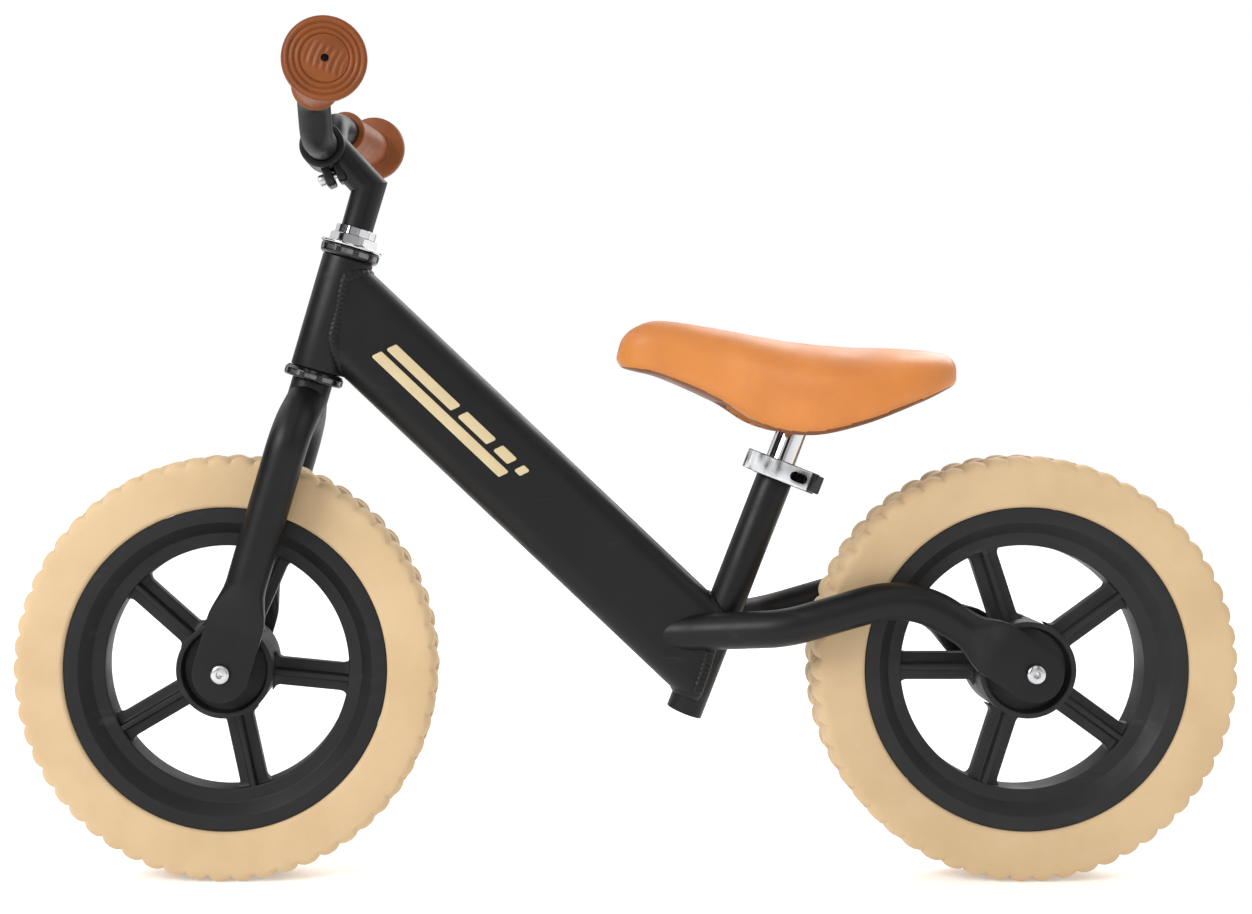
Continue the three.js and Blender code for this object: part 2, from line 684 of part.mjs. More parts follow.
function makeHeadset() {
  const upper = new THREE.Matrix4().makeTranslation(0, 0, HEAD_TOP);
  const lower = new THREE.Matrix4().makeScale(1, 1, -1).setPosition(0, 0, HEAD_BOTTOM);
  piece(steering, 'upper_cup', solidCopy(headsetCup(), upper), BLACK_STEEL);
  piece(steering, 'upper_bearing', solidCopy(ballRing(), upper), ZINC);
  piece(steering, 'adjusting_cone', solidCopy(coneRing(), upper), ZINC);
  const washer = ring(STEERER_RADIUS + GAP, WASHER_RADIUS, WASHER_BOTTOM, WASHER_BOTTOM + WASHER_HEIGHT,
    LARGE_ROUND);
  piece(steering, 'headset_washer', washer, CHROME);
  piece(steering, 'headset_nut', nut(HEADSET_NUT_RADIUS, 6, NUT_BOTTOM, HEADSET_NUT_HEIGHT), CHROME);
  piece(steering, 'lock_nut', nut(LOCK_NUT_RADIUS, 12, LOCK_NUT_BOTTOM, LOCK_NUT_HEIGHT), CHROME);
  piece(steering, 'lower_cup', solidCopy(headsetCup(), lower), BLACK_STEEL);
  piece(steering, 'lower_bearing', solidCopy(ballRing(), lower), ZINC);
  piece(steering, 'crown_race', solidCopy(coneRing(), lower), ZINC);
}

// A placed copy whose faces still point out when the placing mirrors it.
function solidCopy(geometry, matrix) {
  return geometryOf(solid(placed(geometry, matrix)));
}

// ---------------------------------------------------------------- fork

function makeFork() {
  const bore = STEERER_RADIUS - STEERER_WALL;
  const steerer = ring(bore, STEERER_RADIUS, CROWN_BOTTOM, STACK_TOP - 1, LARGE_ROUND);
  piece(steering, 'fork_steerer', steerer, PAINT);
  const crownBore = STEERER_RADIUS + GAP;
  piece(steering, 'fork_crown', ring(crownBore, CROWN_RADIUS, CROWN_BOTTOM, CROWN_TOP, LARGE_ROUND), PAINT);

  const start = new THREE.Vector3(8, 0, CROWN_BOTTOM + 9);
  const shoulder = new THREE.Vector3(FORK_LEG_OFFSET, 0, CROWN_BOTTOM - 9);
  const end = new THREE.Vector3(FORK_LEG_OFFSET, 0, 8);
  const flatFrom = FORK_PRESSING_START;
  const flatTo = FORK_PRESSING_END;
  const pressing = stopsBetween(new THREE.Vector3(FORK_LEG_OFFSET, 0, flatFrom),
    new THREE.Vector3(FORK_LEG_OFFSET, 0, flatTo), 5);
  const path = bentPath(start, [[shoulder, FORK_BEND_RADIUS], ...pressing], end);
  const tube = sweptTube(path, FORK_LEG_RADIUS, FORK_LEG_WALL);
  const pressed = pressedFlat(tube, FORK_LEG_OFFSET, DROPOUT_MIDDLE, FORK_PRESSED_SHARE, (vertex) => (
    THREE.MathUtils.smoothstep(flatFrom - vertex.z, 0, flatFrom - flatTo)));
  const dropout = plate(dropoutOutline(Math.PI / 2, DROPOUT_STRAIGHT), DROPOUT_FACE,
    DROPOUT_FACE + DROPOUT_THICKNESS);
  const crownCut = hole(CROWN_RADIUS + GAP, CROWN_BOTTOM - 40, CROWN_TOP + 40, LARGE_ROUND);
  const topCut = block(-100, 100, -100, 100, CROWN_TOP, CROWN_TOP + 60);
  const inside = block(-40, GAP / 2, -100, 100, -60, 400);
  const left = largestPart(cut(join(pressed, dropout), crownCut, topCut, inside, boltHole()));
  piece(steering, 'fork_leg_left', left, PAINT);
  piece(steering, 'fork_leg_right', mirrored(left), PAINT);
}

// ---------------------------------------------------------------- stem and handlebar

const CLAMP_Y = -STEM_REACH;
const CLAMP_Z = HEAD_TOP + STEM_RISE;
const QUILL_BOTTOM = STACK_TOP - QUILL_INSERTION;

// The clamp's own axes: x across the bike, y along the slot away from the bar, z along the pinch bolt.
function clampMatrix() {
  return new THREE.Matrix4()
    .makeRotationX(CLAMP_SLOT_ANGLE)
    .setPosition(0, CLAMP_Y, CLAMP_Z);
}

function makeStem() {
  const clampAxes = clampMatrix();
  const top = HEAD_TOP + QUILL_TOP;
  const quill = rod(QUILL_RADIUS, QUILL_BOTTOM, top, LARGE_ROUND);
  const arm = bar(STEM_ARM_RADIUS, new THREE.Vector3(0, 0, HEAD_TOP + STEM_ARM_ROOT),
    new THREE.Vector3(0, CLAMP_Y, CLAMP_Z), 24);
  const frontOfSlot = placed(block(-50, 50, 0, 60, -60, CLAMP_SLOT / 2), clampAxes);
  const clampRing = moved(alongX(rod(CLAMP_RADIUS, -CLAMP_WIDTH / 2, CLAMP_WIDTH / 2, LARGE_ROUND)),
    0, CLAMP_Y, CLAMP_Z);
  const ears = placed(block(-CLAMP_EAR_WIDTH / 2, CLAMP_EAR_WIDTH / 2, 8, CLAMP_EAR_REACH,
    -CLAMP_SLOT / 2 - CLAMP_EAR_THICKNESS, CLAMP_SLOT / 2 + CLAMP_EAR_THICKNESS), clampAxes);
  const slot = placed(block(-50, 50, 6, CLAMP_EAR_REACH + 20, -CLAMP_SLOT / 2, CLAMP_SLOT / 2), clampAxes);
  const barHole = moved(alongX(hole(BAR_RADIUS + RUNNING_GAP, -60, 60, LARGE_ROUND)), 0, CLAMP_Y, CLAMP_Z);
  const pinchHole = placed(moved(hole(PINCH_BOLT_RADIUS + GAP, -11, 11, SMALL_ROUND),
    0, PINCH_BOLT_REACH, 0), clampAxes);
  const nutRoom = hole(PINCH_NUT_RADIUS + GAP, CLAMP_SLOT / 2 + CLAMP_EAR_THICKNESS, 14, SMALL_ROUND);
  const nutPocket = placed(moved(nutRoom, 0, PINCH_BOLT_REACH, 0), clampAxes);
  const expanderHole = hole(EXPANDER_RADIUS + GAP, QUILL_BOTTOM - 1, top + 20, SMALL_ROUND);
  const headHole = hole(EXPANDER_RADIUS + 3 + GAP, top - 9, top + 20, SMALL_ROUND);
  const wedgeCut = wedgeHalf(QUILL_BOTTOM, 1);
  const body = cut(join(quill, cut(arm, frontOfSlot), clampRing, ears), slot, barHole, pinchHole, nutPocket,
    expanderHole, headHole, wedgeCut);
  piece(steering, 'stem', largestPart(body), PAINT);

  const wedge = cut(common(rod(QUILL_RADIUS, QUILL_BOTTOM - WEDGE_LENGTH, QUILL_BOTTOM + 30, LARGE_ROUND),
    moved(wedgeHalf(QUILL_BOTTOM, 1), 0, 0, -GAP * 2)), hole(EXPANDER_RADIUS + GAP, 0, top, SMALL_ROUND));
  piece(steering, 'stem_wedge', wedge, ZINC);
  const shank = rod(EXPANDER_RADIUS, QUILL_BOTTOM - WEDGE_LENGTH, top - 8, SMALL_ROUND);
  const head = cut(rod(EXPANDER_RADIUS + 3, top - 8.4, top - 1.4, SMALL_ROUND), hexSocket(3, top - 5, top));
  piece(steering, 'expander_bolt', join(shank, head), ZINC);

  const headSeat = -CLAMP_SLOT / 2 - CLAMP_EAR_THICKNESS - GAP;
  const bolt = join(rod(PINCH_BOLT_RADIUS, headSeat - PINCH_BOLT_HEAD_HEIGHT / 2, 12, SMALL_ROUND),
    rod(PINCH_BOLT_HEAD_RADIUS, headSeat - PINCH_BOLT_HEAD_HEIGHT, headSeat, SMALL_ROUND));
  const drivenBolt = cut(bolt, hexSocket(2.3, -16, -CLAMP_SLOT / 2 - CLAMP_EAR_THICKNESS - 2.2));
  piece(steering, 'pinch_bolt', placed(moved(drivenBolt, 0, PINCH_BOLT_REACH, 0), clampAxes), ZINC);
  const nutBottom = CLAMP_SLOT / 2 + CLAMP_EAR_THICKNESS + GAP;
  const pinchNut = cut(rod(PINCH_NUT_RADIUS, nutBottom, nutBottom + PINCH_NUT_HEIGHT, 6),
    hole(PINCH_BOLT_RADIUS + GAP, 0, 20, SMALL_ROUND));
  piece(steering, 'pinch_nut', placed(moved(pinchNut, 0, PINCH_BOLT_REACH, 0), clampAxes), ZINC);
}

function hexSocket(radius, bottom, top) {
  return rod(radius, bottom, top, 6);
}

// The space below the sloping face at the foot of the quill.
function wedgeHalf(height, side) {
  const slope = THREE.MathUtils.degToRad(50) * side;
  return block(-40, 40, -40, 60, -80, 0).rotateX(slope).translate(0, 0, height + QUILL_RADIUS);
}

// The bar from the clamp's middle to the left end, in axes at the clamp.
function barPoints() {
  const bendTop = BAR_CENTRE_HALF + BAR_BEND_WIDTH + 20;
  const gripStart = new THREE.Vector3(bendTop, 0, BAR_RISE);
  const reach = BAR_WIDTH / 2 - bendTop;
  const end = gripStart.clone().add(new THREE.Vector3(reach, reach * Math.tan(BAR_SWEEP), 0));
  return { foot: new THREE.Vector3(BAR_CENTRE_HALF + BAR_BEND_WIDTH, 0, 0), gripStart, end };
}

function flipX(point) {
  return new THREE.Vector3(-point.x, point.y, point.z);
}

// z runs straight up and y level to the rear, whatever the steering axis's tilt.
const barFrame = group(steering);
barFrame.position.set(0, CLAMP_Y, CLAMP_Z);
barFrame.rotation.x = HEAD_TILT;

function makeHandlebar() {
  const { foot, gripStart, end } = barPoints();
  const path = bentPath(flipX(end), [
    [flipX(gripStart), BAR_BEND_RADIUS],
    [flipX(foot), BAR_BEND_RADIUS],
    [foot, BAR_BEND_RADIUS],
    [gripStart, BAR_BEND_RADIUS],
  ], end);
  piece(barFrame, 'handlebar', sweptTube(path, BAR_RADIUS, BAR_WALL), PAINT);

  const grip = gripShape();
  [['grip_left', 1], ['grip_right', -1]].forEach(([name, side]) => {
    const direction = end.clone().sub(gripStart).normalize();
    const outward = new THREE.Vector3(side * direction.x, direction.y, direction.z);
    const turn = new THREE.Quaternion().setFromUnitVectors(new THREE.Vector3(0, 0, 1), outward);
    const mesh = piece(barFrame, name, grip, BROWN_RUBBER);
    mesh.position.set(side * end.x, end.y, end.z);
    mesh.quaternion.copy(turn);
  });
}

// A grip with z = 0 at the bar's end and its outer cap beyond it.
function gripShape() {
  const bore = flatsAt(BAR_RADIUS + GAP, MEDIUM_ROUND);
  const mouth = GRIP_END_WALL - GRIP_LENGTH;
  const flange = GRIP_END_WALL - GRIP_FLANGE_WIDTH;
  return turned([
    [bore, mouth], [GRIP_INNER_FLANGE_RADIUS, mouth], [GRIP_INNER_FLANGE_RADIUS, mouth + 3.5],
    [GRIP_RADIUS, mouth + 5.5], [GRIP_RADIUS, flange - 6], [GRIP_OUTER_FLANGE_RADIUS - 4, flange],
    [GRIP_OUTER_FLANGE_RADIUS, flange + 3], [GRIP_OUTER_FLANGE_RADIUS, GRIP_END_WALL - 3],
    [GRIP_OUTER_FLANGE_RADIUS - 4, GRIP_END_WALL], [GRIP_OUTER_FLANGE_RADIUS / 2, GRIP_END_WALL + 1.2],
    [GRIP_END_HOLE_RADIUS, GRIP_END_WALL + 1.6], [GRIP_END_HOLE_RADIUS, GAP], [bore, GAP],
  ], MEDIUM_ROUND);
}

// ---------------------------------------------------------------- wheels

const RIM_RADIUS = TYRE_RADIUS - TYRE_DEPTH;
const RIM_CHANNEL_RADIUS = RIM_RADIUS - RIM_CHANNEL_DEPTH;
const RIM_INNER_RADIUS = RIM_RADIUS - RIM_BAND;

// The tyre about X: flat sides, chamfered shoulders and a tread scalloped into knobs.
function tyreShape() {
  const outline = new THREE.Shape(Array.from({ length: 2 * KNOB_COUNT }, (_, index) => {
    const radius = index % 2 === 0 ? TYRE_RADIUS : TYRE_RADIUS - KNOB_DEPTH;
    const angle = (Math.PI * index) / KNOB_COUNT - Math.PI / 2;
    return new THREE.Vector2(radius * Math.cos(angle), radius * Math.sin(angle));
  }));
  const tread = new THREE.ExtrudeGeometry(outline, {
    depth: TYRE_WIDTH - 2 * TYRE_SHOULDER,
    bevelThickness: TYRE_SHOULDER,
    bevelSize: TYRE_SHOULDER,
    bevelOffset: -TYRE_SHOULDER,
    bevelSegments: 1,
  }).translate(0, 0, TYRE_SHOULDER - TYRE_WIDTH / 2);
  const bead = RIM_WIDTH / 2 - RIM_WALL - GAP;
  const bore = turned([
    [0, -TYRE_WIDTH], [RIM_RADIUS + GAP, -TYRE_WIDTH], [RIM_RADIUS + GAP, -bead],
    [RIM_CHANNEL_RADIUS + GAP, -bead], [RIM_CHANNEL_RADIUS + GAP, bead], [RIM_RADIUS + GAP, bead],
    [RIM_RADIUS + GAP, TYRE_WIDTH], [0, TYRE_WIDTH],
  ], RIM_ROUND);
  return alongX(cut(tread, bore));
}

// The moulded wheel about X: channelled rim, ribbed spokes and a recessed hub.
function rimShape(firstSpoke) {
  const half = RIM_WIDTH / 2;
  const channel = half - RIM_WALL;
  const innerHalf = half - 3;
  const band = ringAboutX([
    [RIM_RADIUS, -half], [RIM_RADIUS, -channel], [RIM_CHANNEL_RADIUS, -channel],
    [RIM_CHANNEL_RADIUS, channel], [RIM_RADIUS, channel], [RIM_RADIUS, half],
    [RIM_INNER_RADIUS, innerHalf], [RIM_INNER_RADIUS, -innerHalf],
  ], RIM_ROUND);
  const hub = alongX(rod(HUB_RADIUS, -HUB_WIDTH / 2, HUB_WIDTH / 2, LARGE_ROUND));
  const spokes = [];
  for (let index = 0; index < SPOKE_COUNT; index += 1) {
    const angle = firstSpoke + (2 * Math.PI * index) / SPOKE_COUNT;
    const outer = RIM_INNER_RADIUS + 3;
    const web = block(-SPOKE_THICKNESS / 2, SPOKE_THICKNESS / 2, 20, outer,
      -SPOKE_WIDTH / 2, SPOKE_WIDTH / 2);
    const rib = block(-SPOKE_RIB_THICKNESS / 2, SPOKE_RIB_THICKNESS / 2, 20, outer,
      -SPOKE_RIB_WIDTH / 2, SPOKE_RIB_WIDTH / 2);
    spokes.push(join(web, rib).rotateX(angle));
  }
  const recess = alongX(ring(BEARING_RADIUS + 3, HUB_RECESS_RADIUS, HUB_WIDTH / 2 - HUB_RECESS_DEPTH, 60,
    LARGE_ROUND));
  const seatFloor = HUB_WIDTH / 2 - BEARING_WIDTH - GAP;
  const bearingSeat = alongX(hole(BEARING_RADIUS + GAP, seatFloor, 60, MEDIUM_ROUND));
  const bore = alongX(hole(AXLE_RADIUS + 3, -60, 60, SMALL_ROUND));
  return cut(join(band, hub, ...spokes), recess, mirrored(recess), bearingSeat, mirrored(bearingSeat), bore);
}

function ringAboutX(profile, segments) {
  return alongX(turned(profile, segments));
}

function axleBolt() {
  const headBottom = DROPOUT_FACE + DROPOUT_THICKNESS + GAP;
  const shank = rod(AXLE_BOLT_SHANK_RADIUS, headBottom - AXLE_BOLT_SHANK_LENGTH, headBottom + 1, SMALL_ROUND);
  const head = turned([
    [0, headBottom], [AXLE_BOLT_HEAD_RADIUS, headBottom], [AXLE_BOLT_HEAD_RADIUS, headBottom + 1],
    [AXLE_BOLT_HEAD_RADIUS - 2, headBottom + AXLE_BOLT_HEAD_HEIGHT], [0, headBottom + AXLE_BOLT_HEAD_HEIGHT],
  ], 24);
  const socket = hexSocket(SOCKET_RADIUS, headBottom + 1.2, headBottom + 10);
  return alongX(cut(join(shank, head), socket));
}

function makeWheel(end, axleY, firstSpoke) {
  const wheel = group(bike);
  wheel.position.set(0, axleY, TYRE_RADIUS);
  piece(wheel, `${end}_tyre`, tyreShape(), TAN_FOAM);
  piece(wheel, `${end}_rim`, rimShape(firstSpoke), BLACK_PLASTIC);
  const bearingOuter = HUB_WIDTH / 2;
  const bearingInner = bearingOuter - BEARING_WIDTH;
  const bearing = alongX(ring(AXLE_RADIUS + RUNNING_GAP, BEARING_RADIUS, bearingInner, bearingOuter,
    MEDIUM_ROUND));
  const spacer = alongX(ring(AXLE_RADIUS + GAP, SPACER_RADIUS, bearingOuter + GAP, DROPOUT_FACE - GAP,
    SMALL_ROUND));
  const bolt = axleBolt();
  const threadDepth = AXLE_BOLT_SHANK_LENGTH + 2;
  const axleHalf = DROPOUT_FACE - GAP;
  const thread = alongX(hole(AXLE_BOLT_SHANK_RADIUS + RUNNING_GAP, axleHalf - threadDepth, 60, SMALL_ROUND));
  const axle = cut(alongX(rod(AXLE_RADIUS, -axleHalf, axleHalf, SMALL_ROUND)), thread, mirrored(thread));
  piece(wheel, `${end}_axle`, axle, ZINC);
  [['left', (geometry) => geometry.clone()], ['right', mirrored]].forEach(([side, place]) => {
    piece(wheel, `${end}_bearing_${side}`, place(bearing), ZINC);
    piece(wheel, `${end}_spacer_${side}`, place(spacer), BLACK_PLASTIC);
    piece(wheel, `${end}_axle_bolt_${side}`, place(bolt), ZINC);
  });
}

// ---------------------------------------------------------------- seat clamp

const COLLAR_MIDDLE = SEAT_TUBE_LENGTH + COLLAR_HEIGHT / 2 - COLLAR_BELOW_TOP;

function makeSeatClamp() {
  const clamp = group(seating);
  clamp.position.z = COLLAR_MIDDLE;
  const halfHeight = COLLAR_HEIGHT / 2;
  const band = rod(COLLAR_RADIUS, -halfHeight, halfHeight, LARGE_ROUND);
  const ears = block(-COLLAR_SLOT / 2 - EAR_WIDTH, COLLAR_SLOT / 2 + EAR_WIDTH, 8, EAR_REACH,
    -EAR_HEIGHT / 2, EAR_HEIGHT / 2);
  const slot = block(-COLLAR_SLOT / 2, COLLAR_SLOT / 2, 2, EAR_REACH + 5, -20, 20);
  const bore = hole(SEAT_TUBE_RADIUS + GAP, -20, 20, LARGE_ROUND);
  const skewerHole = moved(alongX(hole(SKEWER_RADIUS + GAP, -30, 30, SMALL_ROUND)), 0, SKEWER_REACH, 0);
  piece(clamp, 'seat_collar', cut(join(band, ears), bore, slot, skewerHole), ALUMINIUM);

  const earFace = COLLAR_SLOT / 2 + EAR_WIDTH;
  const nutOuter = -earFace - GAP - SKEWER_NUT_LENGTH;
  const skewer = moved(alongX(rod(SKEWER_RADIUS, nutOuter - 2, CAM_OFFSET, SMALL_ROUND)), 0, SKEWER_REACH, 0);
  const pin = moved(rod(PIN_RADIUS, -CAM_HEIGHT / 2, CAM_HEIGHT / 2, SMALL_ROUND),
    CAM_OFFSET, SKEWER_REACH, 0);
  piece(clamp, 'clamp_skewer', join(skewer, pin), ZINC);
  const washerOuter = CAM_OFFSET - CAM_RADIUS - GAP;
  const washerRing = ring(SKEWER_RADIUS + GAP, CLAMP_WASHER_RADIUS, earFace + GAP, washerOuter, MEDIUM_ROUND);
  const washer = moved(alongX(washerRing), 0, SKEWER_REACH, 0);
  piece(clamp, 'clamp_washer', washer, BLACK_PLASTIC);
  const nutBody = cut(alongX(rod(SKEWER_NUT_RADIUS, nutOuter, -earFace - GAP, MEDIUM_ROUND)),
    alongX(hole(SKEWER_RADIUS + RUNNING_GAP, -40, 40, SMALL_ROUND)));
  piece(clamp, 'clamp_nut', moved(nutBody, 0, SKEWER_REACH, 0), BLACK_STEEL);

  piece(clamp, 'lever_cam', camShape(), BLACK_PLASTIC);
  piece(clamp, 'clamp_lever', leverShape(), ALUMINIUM);
}

// The cam turns on the skewer's pin, with a slot that clears the skewer all through the swing.
function camShape() {
  const cam = rod(CAM_RADIUS, -CAM_HEIGHT / 2, CAM_HEIGHT / 2, MEDIUM_ROUND);
  const pinHole = hole(PIN_RADIUS + RUNNING_GAP, -20, 20, SMALL_ROUND);
  const reach = CAM_RADIUS + 3;
  const slotHalf = SKEWER_RADIUS + GAP;
  const sweep = new THREE.Shape();
  sweep.moveTo(0, 0);
  sweep.absarc(0, 0, reach, Math.PI - LEVER_SWING, Math.PI, false);
  const slot = new THREE.ExtrudeGeometry(sweep, {
    depth: 2 * slotHalf,
    bevelEnabled: false,
    curveSegments: 4,
  });
  const root = hole(slotHalf, -slotHalf, slotHalf, SMALL_ROUND);
  const ends = [Math.PI - LEVER_SWING, Math.PI].map((angle) => (
    block(0, reach, -slotHalf, slotHalf, -slotHalf, slotHalf).rotateZ(angle)));
  const cavity = join(moved(slot, 0, 0, -slotHalf), root, ...ends);
  return moved(cut(cam, pinHole, cavity), CAM_OFFSET, SKEWER_REACH, 0);
}

// The lever's blade hugs the left of the collar and flicks out at its front tip.
function leverShape() {
  const inner = COLLAR_RADIUS + 1;
  const rear = SKEWER_REACH - 3;
  const tip = -LEVER_FRONT_REACH;
  const line = new THREE.CatmullRomCurve3([
    new THREE.Vector3(inner + 4.4, rear, 0),
    new THREE.Vector3(inner + 2.2, 8, 0),
    new THREE.Vector3(inner + 1.4, -2, 0),
    new THREE.Vector3(inner - 1.6, -12, 0),
    new THREE.Vector3(inner - 1.2, (tip - 14) / 2, 0),
    new THREE.Vector3(inner + 2, tip, 0),
  ]);
  const points = line.getPoints(16);
  const outline = [];
  [1, -1].forEach((side) => {
    const edge = points.map((point, index) => {
      const along = line.getTangent(index / 16);
      const half = (LEVER_THICKNESS / 2) * side;
      return new THREE.Vector2(point.x - along.y * half, point.y + along.x * half);
    });
    outline.push(...(side > 0 ? edge : edge.reverse()));
  });
  const height = COLLAR_HEIGHT - 0.6;
  const blade = new THREE.ExtrudeGeometry(new THREE.Shape(outline), { depth: height, bevelEnabled: false });
  const windowMiddle = 11.6;
  const window = join(
    block(0, 60, windowMiddle - LEVER_WINDOW_LENGTH / 2 + LEVER_WINDOW_HEIGHT / 2,
      windowMiddle + LEVER_WINDOW_LENGTH / 2 - LEVER_WINDOW_HEIGHT / 2,
      -LEVER_WINDOW_HEIGHT / 2, LEVER_WINDOW_HEIGHT / 2),
    ...[-1, 1].map((side) => moved(alongX(rod(LEVER_WINDOW_HEIGHT / 2, 0, 60, SMALL_ROUND)), 0,
      windowMiddle + side * (LEVER_WINDOW_LENGTH - LEVER_WINDOW_HEIGHT) / 2, 0)));
  const camRoom = moved(hole(CAM_RADIUS + GAP, -20, 20, MEDIUM_ROUND), CAM_OFFSET, SKEWER_REACH, 0);
  const collarRoom = hole(COLLAR_RADIUS + GAP, -20, 20, LARGE_ROUND);
  return cut(moved(blade, 0, 0, -height / 2), window, camRoom, collarRoom);
}

// ---------------------------------------------------------------- seatpost and saddle

function saddleCurves() {
  const line = (pick) => new THREE.CatmullRomCurve3(SADDLE_STATIONS.map(pick));
  return {
    outline: line(([along, top, bottom]) => new THREE.Vector3(along, top, bottom)),
    width: line(([along, , , half]) => new THREE.Vector3(along, half, 0)),
  };
}

function saddleSection(t) {
  const side = SADDLE_STATION_CURVES.outline.getPoint(t);
  const plan = SADDLE_STATION_CURVES.width.getPoint(t);
  return { y: side.x, top: side.y, bottom: side.z, half: plan.y };
}

const raised = (value, exponent) => Math.sign(value) * Math.abs(value) ** exponent;

// Section shapes: each turns the sine or cosine of the angle round a ring into a share of its half size.
const CUSHION = (value, angle) => raised(value, angle < Math.PI ? 0.85 : 0.42);
const BOX = (value) => THREE.MathUtils.clamp(value * Math.SQRT2, -1, 1);

// A closed skin over a row of rings, t running from the first ring to the last.
function loft(sectionAt, around, rings, shareOf) {
  const geometry = new THREE.SphereGeometry(1, around, rings + 1);
  const position = geometry.attributes.position;
  for (let index = 0; index < position.count; index += 1) {
    const row = Math.floor(index / (around + 1));
    const angle = (2 * Math.PI * (index % (around + 1))) / around;
    const isPole = row === 0 || row === rings + 1;
    const size = isPole ? 0 : 1;
    const { y, top, bottom, half } = sectionAt(THREE.MathUtils.clamp((row - 1) / (rings - 1), 0, 1));
    const x = size * half * shareOf(Math.cos(angle), angle);
    const z = (top + bottom) / 2 + size * ((top - bottom) / 2) * shareOf(Math.sin(angle), angle);
    position.setXYZ(index, x, y, z);
  }
  return geometry;
}

// The middle of the saddle's underside, in the bike's frame: a point on the post's axis moved back.
function saddleOrigin() {
  const point = inFrame(seating, 0, 0, COLLAR_MIDDLE);
  return { y: point.y + SADDLE_BEHIND_CLAMP, z: point.z + SADDLE_ABOVE_CLAMP };
}

const BASE_FROM = 0.16;
const BASE_TO = 0.9;

function hollowSection(t, inset, top, bottom) {
  const section = saddleSection(THREE.MathUtils.lerp(BASE_FROM, BASE_TO, t));
  return {
    y: section.y,
    top: top(section),
    bottom: bottom(section),
    half: section.half - inset,
  };
}

// Where the post's flange meets the saddle's base: the base is flat there.
const SEAT_FLAT = SADDLE_RECESS_DEPTH;

function ceiling(section) {
  return Math.max(section.bottom + 12, SEAT_FLAT);
}

// The base follows the recess with room on every side.
function baseSection(t) {
  const section = hollowSection(t, SADDLE_RIM + BASE_ROOM, (at) => ceiling(at) - BASE_ROOM / 2,
    (at) => ceiling(at) - SADDLE_BASE_THICKNESS);
  const inward = { 0: BASE_ROOM, 1: -BASE_ROOM }[t] ?? 0;
  return { ...section, y: section.y + inward };
}

function makeSaddle() {
  const origin = saddleOrigin();
  const saddle = group(bike);
  saddle.position.set(0, origin.y, origin.z);
  const outer = loft(saddleSection, 20, 16, CUSHION);
  const below = (section) => section.bottom - 60;
  const recess = loft((t) => hollowSection(t, SADDLE_RIM, ceiling, below), 8, 9, BOX);
  piece(saddle, 'saddle_pad', cut(outer, recess), ORANGE_LEATHER);

  const base = loft(baseSection, 8, 9, BOX);
  const postTop = inFrame(seating, 0, 0, postTopHeight(origin.z));
  const flangeY = postTop.y - origin.y;
  const boltAt = [-1, 1].map((side) => flangeY + (side * SADDLE_BOLT_SPACING) / 2);
  const boltHoles = boltAt.map((y) => moved(hole(SADDLE_BOLT_RADIUS + GAP, -20, 36, SMALL_ROUND), 0, y, 0));
  const flangeRoom = block(-FLANGE_WIDTH / 2 - 2, FLANGE_WIDTH / 2 + 2, flangeY - FLANGE_LENGTH / 2 - 2,
    flangeY + FLANGE_LENGTH / 2 + 2, -30, SEAT_FLAT - SADDLE_BASE_THICKNESS);
  const boss = block(-FLANGE_WIDTH / 2 - 4, FLANGE_WIDTH / 2 + 4, flangeY - FLANGE_LENGTH / 2 - 4,
    flangeY + FLANGE_LENGTH / 2 + 4, SEAT_FLAT - SADDLE_BASE_THICKNESS, SEAT_FLAT - BASE_ROOM / 2);
  piece(saddle, 'saddle_base', cut(join(base, boss), flangeRoom, ...boltHoles), BLACK_PLASTIC);

  const flangeTop = SEAT_FLAT - SADDLE_BASE_THICKNESS - GAP;
  const flangePlate = block(-FLANGE_WIDTH / 2, FLANGE_WIDTH / 2,
    flangeY - FLANGE_LENGTH / 2, flangeY + FLANGE_LENGTH / 2, flangeTop - FLANGE_THICKNESS, flangeTop);
  const flange = cut(flangePlate, ...boltHoles);
  makePost(origin, flange, flangeTop);
  boltAt.forEach((y, index) => {
    const under = flangeTop - FLANGE_THICKNESS - GAP;
    const bolt = join(rod(SADDLE_BOLT_RADIUS, under - 1, SEAT_FLAT - 1.4, SMALL_ROUND),
      rod(SADDLE_BOLT_HEAD_RADIUS, under - SADDLE_BOLT_HEAD_HEIGHT, under, 6));
    piece(saddle, ['saddle_bolt_front', 'saddle_bolt_rear'][index], moved(bolt, 0, y, 0), ZINC);
  });
}

// How far up the seat tube's axis the flange's underside lies.
function postTopHeight(saddleZ) {
  const level = saddleZ + SEAT_FLAT - SADDLE_BASE_THICKNESS - GAP - FLANGE_THICKNESS / 2;
  return (level - SEAT_TUBE_HEIGHT) / Math.cos(SEAT_TILT);
}

// The post, its top trimmed level under the flange that it is welded to.
function makePost(origin, flange, flangeTop) {
  const bottom = SEAT_TUBE_LENGTH - POST_INSERTION;
  const blank = ring(POST_RADIUS - POST_WALL, POST_RADIUS, bottom, SEAT_TUBE_LENGTH + 90, LARGE_ROUND);
  const outer = placed(blank, seating.matrix);
  const level = origin.z + flangeTop - 1;
  const trimmed = cut(outer, block(-60, 60, -300, 600, level, level + 200));
  const post = join(trimmed, moved(flange, 0, origin.y, origin.z));
  piece(bike, 'seatpost', post, CHROME);
}

// ---------------------------------------------------------------- assembly

makeHeadTube();
makeDownTube();
makeSeatTube();
makeStays();
makeHeadset();
makeFork();
makeStem();
makeHandlebar();
makeWheel('front', FRONT_AXLE_Y, FRONT_SPOKE_ANGLE);
makeWheel('rear', REAR_AXLE_Y, REAR_SPOKE_ANGLE);
makeSeatClamp();
makeSaddle();

export default bike;
